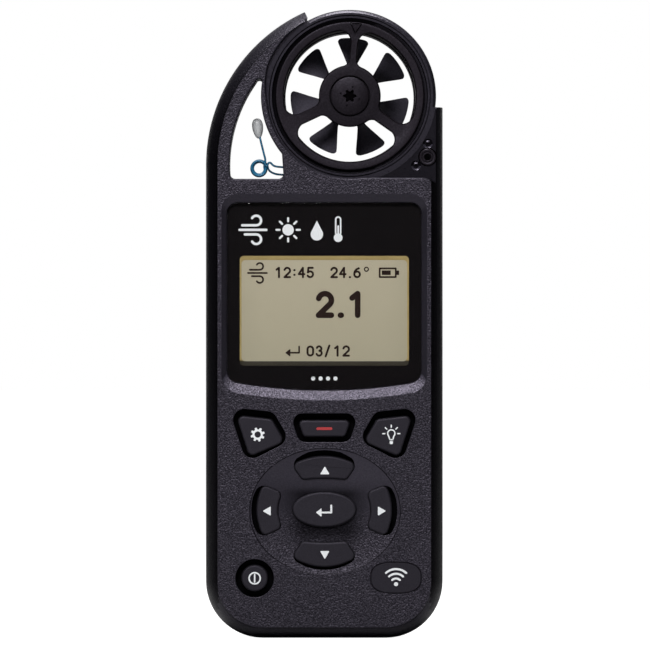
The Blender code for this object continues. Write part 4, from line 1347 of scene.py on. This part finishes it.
def hinge_ears():
    """The two short lugs that hold the battery door's pin."""
    for tag, low, high in (("left", -8.6, -5.45), ("right", 5.45, 8.6)):
        profile = [
            (0.82, low), (1.35, low), (1.5, low + 0.15), (1.5, high - 0.15), (1.35, high), (0.82, high),
        ]
        lug = turned(profile, (0, HINGE_Y, HINGE_Z), "X", 40)
        piece(f"hinge_lug_{tag}", lug, LOOK["side"])


def battery_door():
    outline = rounded_box(-9.8, 9.8, 9.7, 76.3, 0.8, 3)
    edge = 0.35
    rounding = [(grown(outline, -edge * inward), BACK - edge * drop) for inward, drop in quarter_round(5)]
    door = mesh_object("battery_door_panel", loft([(outline, 12.2)] + rounding))
    weld(
        door,
        block((-KNUCKLE_HALF, 12.3, HINGE_Z), (KNUCKLE_HALF, HINGE_Y + 1.4, 10.5)),
        rod((0, HINGE_Y, HINGE_Z), KNUCKLE_R, -KNUCKLE_HALF, KNUCKLE_HALF, 40),
    )
    carve(
        door,
        rod((0, HINGE_Y, HINGE_Z), 0.85, -6, 6),
        flared(circle(LATCH, 2.2, 64), BACK - 1.2, BACK, 0.15),
        prism(circle(LATCH, 1.2, 40), 11, BACK + 1),
    )
    for i in range(7):
        z = 60.5 - 2.0 * i
        bar = stroke([(-5.5 + 0.35 * i, z), (5.5 - 0.35 * i, z)], 0.9)
        carve(door, flared(bar, BACK - 0.35, BACK, 0.1))
    finish(door, LOOK["side"], "battery_door", ["battery_door"], 28)


def battery_latch():
    x, z = LATCH
    profile = [
        (0, 10.2), (0.95, 10.2), (0.95, 13.0), (2.0, 13.0), (2.0, 13.75), (1.92, 13.87), (1.8, 13.9),
        (0, 13.9),
    ]
    latch = mesh_object("battery_latch_button", spun(profile, (x, z), 64))
    weld(latch, prism(rounded_box(-0.8, 0.8, z - 0.8, z + 2.0, 0.3, 0.7, 5), 10.25, 11.6))
    carve(latch, prism(rounded_box(-1.5, 1.5, z - 0.3, z + 0.3, 0.28, 0.28, 5), 13.4, 15))
    finish(latch, LOOK["guard"], "battery_door_latch", ["battery_door_latch"])


# ---------------------------------------------------------------- fasteners and fittings
def case_screws():
    for i, (x, z) in enumerate(SCREWS):
        head = [(0, 4.2), (1.75, 4.2), (1.75, 5.35), (1.62, 5.6), (1.3, 5.7), (0, 5.7)]
        shaft = [(0, -9.5), (0.8, -8.8), (0.8, 4.3), (0, 4.3)]
        screw = mesh_object(f"case_screw_{i + 1}_body", spun(head, (x, z), 48))
        weld(screw, spun(shaft, (x, z), 32))
        for wide, tall in ((1.1, 0.27), (0.27, 1.1)):
            cross_bar = rounded_box(x - wide, x + wide, z - tall, z + tall, 0.1, 0.1, 3)
            carve(screw, prism(cross_bar, 4.9, 6.5))
        finish(screw, LOOK["steel"], "root", [f"case_screw_{i + 1}"])


def tripod_insert():
    """A brass bush with ring grooves down its bore that look like a thread."""
    x, z = INSERT
    low, high = limits("tripod_insert")
    pitch, depth = 1.27, 0.35
    profile = [(4.0, low.y), (4.0, high.y - 0.25), (3.8, high.y), (2.95, high.y), (2.75, high.y - 0.3)]
    y = high.y - 0.5
    while y > low.y + pitch:
        profile += [(2.6 + depth, y - pitch / 2), (2.6, y - pitch)]
        y -= pitch
    profile.append((2.6, low.y))
    bush = turned(profile, (x, 0, z), "Y", 72)
    piece("tripod_bush", bush, LOOK["brass"], "root", ["tripod_insert"], 25)


def cover_pivot():
    y = SEAT - 0.1
    profile = [
        (0.67, y + 0.18), (0.78, y + 0.05), (0.95, y + 0.06), (1.02, y + 0.3), (1.14, y + 0.3),
        (1.2, y + 0.04),
        (1.32, y), (1.5, y), (1.66, y + 0.12), (1.7, y + 0.35), (1.7, y + 2.5), (0.67, y + 2.5),
    ]
    bush = turned(profile, (PIVOT[0], 0, PIVOT[1]), "Y", 56)
    piece("cover_pivot_bush", bush, LOOK["guard"], "root", ["cover_pivot_bushing"])


def data_window():
    face = FRONT + 0.06
    plate = plaque(data_outline(), face, FRONT + 0.5, 0.12)
    piece("data_window_plate", plate, LOOK["key"], "root", ["data_window"])
    inlay("data_window_icon", wireless(DATA_OVAL), face, LOOK["white_ink"])


# ---------------------------------------------------------------- display
def view_outline(top=0.0, side=0.0, bottom=0.0):
    return rounded_box(
        -VIEW_HALF_WIDTH + side, VIEW_HALF_WIDTH - side, VIEW_BOTTOM + bottom, VIEW_TOP - top, 0.8, 0.8, 6
    )


def display():
    lens = plaque(lens_outline(), LENS_LOW.y, LENS_HIGH.y, 0.15)
    piece("display_lens", lens, LOOK["lens"], "root", ["display_window"], 25)
    back = LENS_HIGH.y
    outer = rounded_box(-18.7, 18.7, 53.3, 79.2, 0.8, 0.8, 6)
    rim = loft([
        (outer, back + 0.04), (outer, LCD_FACE - 0.03), (view_outline(0.85, 0.34, 0.9), LCD_FACE - 0.03),
        (view_outline(), back + 0.04),
    ], hollow=True)
    piece("lcd_bevel", rim, LOOK["lcd_edge"])
    mask_outer = grown(lens_outline(), -0.1)
    mask = mesh_object("lens_mask", prism(mask_outer, back + 0.005, back + 0.035))
    carve(mask, prism(view_outline(), back - 1, back + 1))
    finish(mask, LOOK["mask_ink"])
    lens_marks()
    lcd_marks()


def lens_marks():
    """Plain weather pictograms across the top of the window and a row of dots below the display."""
    z = 82.5
    marks = gust((-14.4, z), 2.7, 0.5) + sun((-7.3, z), 1.15, 0.42)
    marks += [drop((-1.5, z - 0.9), 1.25)] + thermometer((2.8, z), 2.1, 0.5)
    inlay("lens_pictograms", marks, LENS_HIGH.y, LOOK["white_ink"], "root", 0.0, 0.004)
    dots = [circle((x, 52.5), 0.42, 20) for x in (-2.25, -0.75, 0.75, 2.25)]
    inlay("lens_dots", dots, LENS_HIGH.y, LOOK["white_ink"], "root", 0.0, 0.004)


def figure_strokes(character):
    """The lines of a figure in a box 0.6 wide and 1 high."""
    return {
        "0": [arc((0.3, 0.68), 0.3, 0, 180, 10) + arc((0.3, 0.32), 0.3, 180, 360, 10) + [(0.6, 0.68)]],
        "1": [[(0.08, 0.80), (0.34, 1.0)], [(0.34, 1.0), (0.34, 0.0)]],
        "2": [arc((0.3, 0.70), 0.3, 165, -35, 12) + [(0.0, 0.0)], [(0.0, 0.0), (0.6, 0.0)]],
        "3": [arc((0.28, 0.75), 0.25, 160, -80, 12), arc((0.28, 0.28), 0.28, 80, -160, 12)],
        "4": [[(0.44, 0.0), (0.44, 1.0)], [(0.44, 1.0), (0.0, 0.32)], [(0.0, 0.32), (0.6, 0.32)]],
        "5": [[(0.56, 1.0), (0.1, 1.0)], [(0.1, 1.0), (0.05, 0.52)], arc((0.29, 0.31), 0.31, 140, -150, 14)],
        "6": [arc((0.3, 0.3), 0.3, 0, 360, 20), arc((0.62, 0.34), 0.62, 178, 102, 8)],
        ".": [[(0.12, 0.0), (0.16, 0.0)]],
        ":": [[(0.12, 0.25), (0.16, 0.25)], [(0.12, 0.75), (0.16, 0.75)]],
        "/": [[(0.02, -0.08), (0.42, 1.08)]],
    }[character]


def figures(text, x, z, height, weight, spacing):
    """Outlines of figures that start at x, with their lower edge at z; weight is the lines' width."""
    outlines = []
    tall = height - weight
    for character in text:
        narrow = character in ".:"
        for path in figure_strokes(character):
            placed = [(x + weight / 2 + px * tall, z + weight / 2 + pz * tall) for px, pz in path]
            outlines.append(stroke(placed, weight))
        x += (0.28 if narrow else 0.6) * tall + spacing
    return outlines


def lcd_marks():
    """The reading in figures, with a clock, a temperature and a page count in place of words."""
    marks = figures("2.1", -1.75, 64.7, 5.5, 1.15, 1.3)
    marks += figures("12:45", -10.0, 72.75, 2.3, 0.42, 0.62)
    marks += figures("24.6", 1.2, 72.75, 2.3, 0.42, 0.62)
    marks += figures("03/12", -3.6, 56.9, 2.3, 0.42, 0.68)
    battery = [
        (rounded_box(11.0, 14.6, 72.8, 74.9, 0.2, 0.2, 3),
         rounded_box(11.35, 14.25, 73.15, 74.55, 0.1, 0.1, 3)),
        rounded_box(14.6, 15.1, 73.4, 74.3, 0.1, 0.1, 2), rounded_box(11.6, 13.4, 73.4, 74.3, 0.05, 0.05, 2),
        ring((8.5, 74.55), 0.4, 0.24, 20),
    ]
    marks += battery + gust((-13.5, 73.8), 1.9, 0.36) + return_arrow((-6.4, 57.7), 1.5)
    inlay("lcd_figures", marks, LCD_FACE, LOOK["lcd_ink"], "root", 0.02, 0.0)


# ---------------------------------------------------------------- impeller cartridge
def guard_window(start, end, inner, outer):
    """The opening between two spokes, each given as (angle, width)."""
    half_start, half_end = start[1] / 2, end[1] / 2

    def beside(radius, spoke, half, side):
        return spoke + side * math.degrees(math.asin(half / radius))

    inner_from = beside(inner, start[0], half_start, 1)
    inner_to = beside(inner, end[0], half_end, -1)
    outer_from = beside(outer, start[0], half_start, 1)
    outer_to = beside(outer, end[0], half_end, -1)
    inner_arc = arc(AIR_CENTRE, inner, inner_to, inner_from, 40)
    outer_arc = arc(AIR_CENTRE, outer, outer_from, outer_to, 60)

    def line(a, b):
        return [tuple(p + (q - p) * i / 10 for p, q in zip(a, b)) for i in range(11)]

    return filleted(
        [inner_arc, line(inner_arc[-1], outer_arc[0]), outer_arc, line(outer_arc[-1], inner_arc[0])],
        [1.5, 1.5, 2.4, 2.4],
    )


MARK_PLACE = polar(AIR_CENTRE, 14.0, 85)  # the triangle engraved on the upper spoke


def guard_windows():
    spokes = [list(s) for s in SPOKES] + [[SPOKES[0][0] + 360, SPOKES[0][1]]]
    return [guard_window(a, b, GUARD_HUB_R, GUARD_INNER_R) for a, b in zip(spokes, spokes[1:])]


def guard_shade(place, face):
    """How much of the light a place on the guard misses, as painted shade: the gap round it, the engraved
    mark and a little over the hub.
    """
    depth = face.center.y / MM - GUARD_FRONT
    near_mark = math.dist((place.x, place.z), MARK_PLACE) < 2.2
    hidden = depth > 1.95 or (face.normal.y > -0.5 and place.y > GUARD_FRONT + 0.4)
    on_hub = 0.25 if math.dist((place.x, place.z), AIR_CENTRE) < 7 else 0.0
    return 0.95 if hidden or (near_mark and depth > 0.375) else on_hub


def guard_front():
    """The protective face: outer ring, three spokes and a hub, over the front half of the air tube."""
    f, r = GUARD_FRONT, GUARD_OUTER_R
    face = [
        (0, f + 0.2), (GUARD_HUB_R - 0.6, f + 0.2), (GUARD_HUB_R + 0.6, f + 0.35),
        (GUARD_INNER_R - 0.9, f + 0.35),
        (GUARD_INNER_R + 0.2, f + 0.1), (r - 0.4, f), (r - 0.12, f + 0.06), (r, f + 0.25), (r, f + 1.9),
        (0, f + 1.9),
    ]
    guard = mesh_object("guard_front_ring", air_solid(face, ROUND_STEPS))
    for window in guard_windows():
        carve(guard, loft([
            (grown(window, 0.05), f + 3), (window, f + 0.9), (grown(window, 0.05), f + 0.6),
            (grown(window, 0.22), f + 0.36), (grown(window, 0.4), f - 1),
        ]))
    rib = BORE_R - 0.03
    tube = air_turned([
        (GUARD_INNER_R, f + 1.6), (r, f + 1.6), (r, f + 2.0), (rib, f + 2.1), (rib, f + 2.9), (r, f + 3.0),
        (r, GUARD_SPLIT), (GUARD_INNER_R, GUARD_SPLIT),
    ], ROUND_STEPS)
    hub_r = GUARD_HUB_R - 0.15
    hub = air_solid([(0, f + 1.5), (hub_r, f + 1.5), (hub_r, GUARD_HUB_BACK - 0.15), (6.0, GUARD_HUB_BACK),
                     (0, GUARD_HUB_BACK)])
    weld(guard, tube, hub)
    mark_outline = triangle(MARK_PLACE, 1.55, -95)
    carve(
        guard,
        air_solid([(0, f - 1), (4.3, f - 1), (4.15, f + 0.35), (4.15, CAP_SEAT), (0, CAP_SEAT)]),
        loft([
            (mark_outline, f - 1), (mark_outline, f + 0.4), (grown(mark_outline, -0.26), f + 0.4),
            (grown(mark_outline, -0.26), f - 1),
        ], hollow=True),
    )
    mark(guard, "shade", guard_shade)
    finish(guard, LOOK["guard"], "cartridge", ["guard_front"], 30)


def hub_cap():
    """The disc that hides the front bearing, with a six-lobed drive recess and four small pips."""
    f = limits("hub_cap")[0].y

    def star(scale):
        return [polar(AIR_CENTRE, scale * (1.0 + 0.22 * math.cos(math.radians(22.5 * i))), 3.75 * i)
                for i in range(96)]

    def shade(place, face):
        off_axis = math.dist((place.x, place.z), AIR_CENTRE)
        pip = 0.8 if 1.6 < off_axis < 2.3 and place.y < f - 0.01 else 0.35
        return ramp(place.y, f + 0.02, f + 0.1) if off_axis < 1.5 else pip

    cap = loft([
        (circle(AIR_CENTRE, CAP_R, 96), CAP_BACK), (circle(AIR_CENTRE, CAP_R, 96), f + 0.3),
        (circle(AIR_CENTRE, 3.8, 96), f + 0.08), (circle(AIR_CENTRE, 3.6, 96), f), (star(1.15), f),
        (star(1.06), f + 0.12), (star(1.0), f + 0.6), (star(0.45), f + 0.6),
    ])
    dome = [(0, f - 0.1), (0.16, f - 0.08), (0.24, f + 0.1), (0, f + 0.1)]
    pips = [spun(dome, polar(AIR_CENTRE, 1.93, angle), 20) for angle in (73, 163, 253, 343)]
    cap = mesh_object("hub_cap_disc", merged(cap, *pips))
    mark(cap, "shade", shade)
    finish(cap, LOOK["guard"], "cartridge", ["hub_cap"])


def guard_rear():
    low, high = limits("guard_rear")
    f, b, r = low.y, high.y, GUARD_OUTER_R
    tube = [(13.05, f), (r, f), (r, b - 0.2), (r - 0.2, b), (13.3, b), (13.05, b - 0.3)]
    guard = mesh_object("guard_rear_ring", air_turned(tube, ROUND_STEPS))
    hub = [(0, 3.0), (4.8, 3.0), (5.0, 3.2), (5.0, b - 0.5), (4.7, b - 0.2), (0, b - 0.2)]
    weld(guard, air_solid(hub))
    for angle, _ in SPOKES:
        path = [polar(AIR_CENTRE, radius, angle) for radius in (4.5, 13.5)]
        weld(guard, loft([
            (stroke(path, 1.2), 3.95), (stroke(path, 1.5), 4.25),
            (stroke(path, 1.5), b - 0.6), (stroke(path, 1.2), b - 0.3),
        ]))
    carve(guard, air_solid([(0, 2), (1.1, 2), (1.1, 4.2), (0, 4.2)], 40))
    finish(guard, LOOK["guard"], "cartridge", ["guard_rear"], 30)


BLADE_STATIONS = (  # radius, half width and half depth of each section
    (4.3, 0.55, 2.6), (6.4, 0.85, 2.5), (8.2, 1.65, 2.35), (9.8, 2.4, 2.1), (10.9, 2.9, 1.95),
    (11.45, 3.1, 1.85), (11.75, 3.0, 1.75), (11.93, 2.75, 1.6), (12.0, 2.4, 1.4),
)


def blade(angle):
    """One pitched vane, widening from the hub to a rounded tip."""
    bm = bmesh.new()
    loops = []
    for radius, half, depth in BLADE_STATIONS:
        loop = []
        thick = 0.28 if radius < 11.9 else 0.16
        across = 9
        for face in (1, -1):
            for step in range(across):
                t = (step / (across - 1) * 2 - 1) * face
                taper = 1 - 0.55 * abs(t) ** 6
                u = t * half
                y = BLADE_DEPTH + t * depth + face * thick * taper
                loop.append(bm.verts.new(point(u, y, math.sqrt(radius ** 2 - u ** 2))))
        loops.append(loop)
    for near, far in zip(loops, loops[1:]):
        for i in range(len(near)):
            j = (i + 1) % len(near)
            bm.faces.new((near[i], near[j], far[j], far[i]))
    bm.faces.new(loops[0])
    bm.faces.new(loops[-1])
    bmesh.ops.triangulate(bm, faces=bm.faces)
    bmesh.ops.transform(bm, matrix=Matrix.Rotation(math.radians(90 - angle), 4, "Y"), verts=bm.verts)
    bmesh.ops.translate(bm, verts=bm.verts, vec=point(AIR_CENTRE[0], 0, AIR_CENTRE[1]))
    return bm


def impeller():
    r = BLADE_HUB_R
    hub = [
        (0.56, -9.6), (4.2, -9.6), (4.7, -9.35), (r, -8.8), (r, 2.0), (4.8, 2.2), (3.5, 2.2),
        (3.5, -0.6), (0.56, -0.6),
    ]
    wheel = mesh_object("impeller_wheel", air_turned(hub, 96))
    for i in range(BLADE_COUNT):
        weld(wheel, blade(BLADE_ANGLE + 360 / BLADE_COUNT * i))
    finish(wheel, LOOK["blade"], "impeller", ["impeller"], 35)


# ---------------------------------------------------------------- air temperature sensor
def wire(name, path, radius, look, node):
    """A smooth round wire through a path of (x, y, z) points."""
    curve = bpy.data.curves.new(name, "CURVE")
    curve.dimensions = "3D"
    curve.bevel_depth = radius * MM
    curve.bevel_resolution = 4
    curve.resolution_u = 6
    curve.use_fill_caps = True
    spline = curve.splines.new("BEZIER")
    spline.bezier_points.add(len(path) - 1)
    for spot, place in zip(spline.bezier_points, path):
        spot.co = point(*place)
        spot.handle_left_type = spot.handle_right_type = "AUTO"
    source = linked(name + "_path", curve)
    mesh = bpy.data.meshes.new_from_object(source.evaluated_get(bpy.context.evaluated_depsgraph_get()))
    bpy.data.objects.remove(source)
    return finish(linked(name, mesh), look, "root", [node], 60)


def thermistor():
    profile = [(0, 101.1)]
    for degrees in range(8, 180, 8):
        t = math.radians(degrees)
        swell = 0.62 + 0.38 * (1 - math.cos(t)) / 2 + 0.1
        profile.append((1.2 * math.sin(t) ** 0.85 * swell, 103.15 - 2.05 * math.cos(t)))
    profile.append((0, 105.2))
    bead = turned(profile, (BEAD[0], BEAD[1], 0), "Z", 40, closed=False)
    tilt = Matrix.Rotation(math.radians(-6), 3, "Y")
    bmesh.ops.rotate(bead, cent=point(BEAD[0], BEAD[1], 101.2), matrix=tilt, verts=bead.verts)
    bmesh.ops.translate(bead, verts=bead.verts, vec=point(0.35, 0, 0))
    piece("thermistor_bead_glass", bead, LOOK["bead"], "root", ["thermistor_bead"], 60)
    for tag, side in (("front", -1), ("rear", 1)):
        lead(tag, side)


def lead(tag, side):
    """One insulated lead: down from the bead, round a spare loop, then out to the case wall."""
    y = BEAD[1] + 0.35 * side
    path = [(-13.05, BEAD[1] + 0.2 * side, 101.3), (-12.8, y, 100.2), (-12.35, y, 98.4), (-11.95, y, 96.4)]
    turns, steps = 2.0, 28
    for i in range(steps + 1):
        t = i / steps
        angle = math.radians(20) - 2 * math.pi * turns * t
        radius = COIL_R - 0.32 + 0.55 * t + 0.06 * side
        path.append((
            COIL[0] + radius * math.cos(angle), y + side * 0.75 * t, COIL[1] + radius * math.sin(angle),
        ))
    end_z = 95.3 if side < 0 else 93.8
    end_y = BEAD[1] + side * 1.1
    exit_path = ((-11.2, 0.9), (-10.2, 0.25), (-8.8, 0), (-6.4, 0))
    path += [(x, end_y, end_z + rise) for x, rise in exit_path]
    wire(f"thermistor_wire_{tag}", path, LEAD_R, LOOK["blue"], f"thermistor_lead_{tag}")


# ---------------------------------------------------------------- battery
def battery():
    low, high = limits("aa_battery")
    y = (low.y + high.y) / 2
    profile = [
        (0, 17.2), (6.6, 17.2), (6.9, 17.35), (7.2, 17.7), (7.2, 66.0), (7.05, 66.4), (6.6, 66.6),
        (3.1, 66.6),
        (2.75, 66.75), (2.75, 67.7), (2.5, 67.9), (0, 67.9),
    ]
    cell = turned(profile, (0, y, 0), "Z", 72, closed=False)
    piece("aa_cell", cell, LOOK["cell"], "root", ["aa_battery"])
    path = []
    turns, steps = 3.5, 60
    for i in range(steps + 1):
        t = i / steps
        angle, radius = 2 * math.pi * turns * t, 4.4 - 1.9 * t
        path.append((radius * math.cos(angle), y + radius * math.sin(angle), 12.9 + 3.6 * t))
    wire("battery_spring", path, SPRING_WIRE_R, LOOK["steel"], "battery_contact_spring")


# ---------------------------------------------------------------- CAD nodes that stay
NODE_LOOKS = {
    "case_seal": "seal", "battery_door_seal": "seal", "cartridge_o_ring": "seal", "lead_grommet": "seal",
    "keypad_mat": "seal", "display_connector": "seal",
    "lcd_panel": "lcd", "lcd_frame": "frame", "lcd_backlight": "guide", "vent_membrane": "guide",
    "humidity_sensor": "guide", "processor_chip": "chip", "pressure_sensor": "chip",
    "main_pcb": "board", "pickup_coil": "coil",
    "dome_sheet": "steel", "radio_module": "steel", "battery_contact_plate": "steel",
    "battery_door_pin": "steel",
    "impeller_shaft": "steel", "hub_magnet": "steel",
    "front_jewel": "jewel", "rear_jewel": "jewel",
}


def dress_nodes():
    for name, look in NODE_LOOKS.items():
        node = frame["nodes"][name]
        if not node.material_slots:
            node.data.materials.append(None)
        for slot in node.material_slots:
            slot.link = "OBJECT"
            slot.material = LOOK[look]


# ---------------------------------------------------------------- stage
CENTRE = (0.14, 63.3)  # where the camera looks, as (x, z)
FRAME_WIDTH = 131.66  # millimetres across the picture
LIGHT_AIM_Z = 63  # the height on the case where the lights point
CAMERA_DISTANCE = 1600.0
FRAME_DEPTH = -6.0  # the y that FRAME_WIDTH is measured at
FLOOR_GLOW = 1.0  # seen by the camera alone, it keeps the pale floor white
WORLD_LOW_HIGH = (0.05, 0.08)  # the studio's brightness below and above
WORLD_SIDES = 0.02  # the share of it left at the sides
WORLD_BACKDROP = 0.8


def camera():
    data = bpy.data.cameras.new("camera")
    data.angle = 2 * math.atan(FRAME_WIDTH / 2 / (CAMERA_DISTANCE + FRAME_DEPTH))
    data.clip_start, data.clip_end = 0.01, 100
    obj = linked("camera", data)
    obj.location = point(CENTRE[0], -CAMERA_DISTANCE, CENTRE[1])
    obj.rotation_euler = (math.radians(90), 0, 0)
    bpy.context.scene.camera = obj


def softbox(name, place, size, power):
    """A rectangular light that faces the middle of the case."""
    data = bpy.data.lights.new(name, "AREA")
    data.shape = "RECTANGLE"
    data.size, data.size_y = (s * MM for s in size)
    data.energy = power
    obj = linked(name, data)
    obj.location = point(*place)
    obj.rotation_euler = (point(0, 0, LIGHT_AIM_Z) - obj.location).to_track_quat("-Z", "Y").to_euler()


def floor():
    bm = bmesh.new()
    bmesh.ops.create_grid(bm, x_segments=1, y_segments=1, size=6.0)
    obj = mesh_object("floor", bm)
    obj.location.z = -0.02 * MM
    look = Look("pale_floor")
    seen = look.add("ShaderNodeLightPath").outputs["Is Camera Ray"]
    mottle = look.mottle(0, 1, 0.002, 2)
    obj.data.materials.append(look.set(
        color=look.blend(mottle, (0.26, 0.26, 0.26), (0.3, 0.3, 0.3)), roughness=0.9, specular=0.1,
        emission_color=(1, 1, 1), emission_strength=look.times(seen, FLOOR_GLOW),
    ))


def world():
    """White to the camera; to the object dim, a little brighter above, with a bright backdrop behind it."""
    made = bpy.data.worlds.new("studio")
    made.use_nodes = True
    bpy.context.scene.world = made
    graph = Graph(made.node_tree)
    direction = graph.split(graph.add("ShaderNodeTexCoord").outputs["Generated"])
    height = graph.between(direction["Z"], -1, 1, *WORLD_LOW_HIGH)
    sides = graph.between(graph.math("ABSOLUTE", direction["X"]), 0.15, 0.6, 1, WORLD_SIDES)
    backdrop = graph.between(direction["Y"], 0.9, 0.97, 0, WORLD_BACKDROP)
    lit = graph.math("ADD", graph.times(height, sides), backdrop)
    seen = graph.add("ShaderNodeLightPath").outputs["Is Camera Ray"]
    strength = graph.math("MAXIMUM", seen, lit)
    graph.link(strength, made.node_tree.nodes["Background"].inputs["Strength"])
    made.node_tree.nodes["Background"].inputs["Color"].default_value = (1, 1, 1, 1)


def studio():
    camera()
    floor()
    world()
    softbox("top_light", (-30, 20, 520), (360, 260), 4.0)
    softbox("key_light", (-60, -430, 400), (300, 130), 2.6)
    softbox("front_light", (-260, -700, -10), (300, 240), 0.5)
    bpy.context.scene.view_settings.view_transform = "Standard"


# ---------------------------------------------------------------- build
front_case()
rear_case()
hinge_ears()
battery_door()
battery_latch()
case_screws()
tripod_insert()
cover_pivot()
data_window()
display()
for key, (cap, opening) in KEYS.items():
    key_cap(key, cap, opening)
key_icons()
guard_front()
hub_cap()
guard_rear()
impeller()
thermistor()
battery()
dress_nodes()
studio()
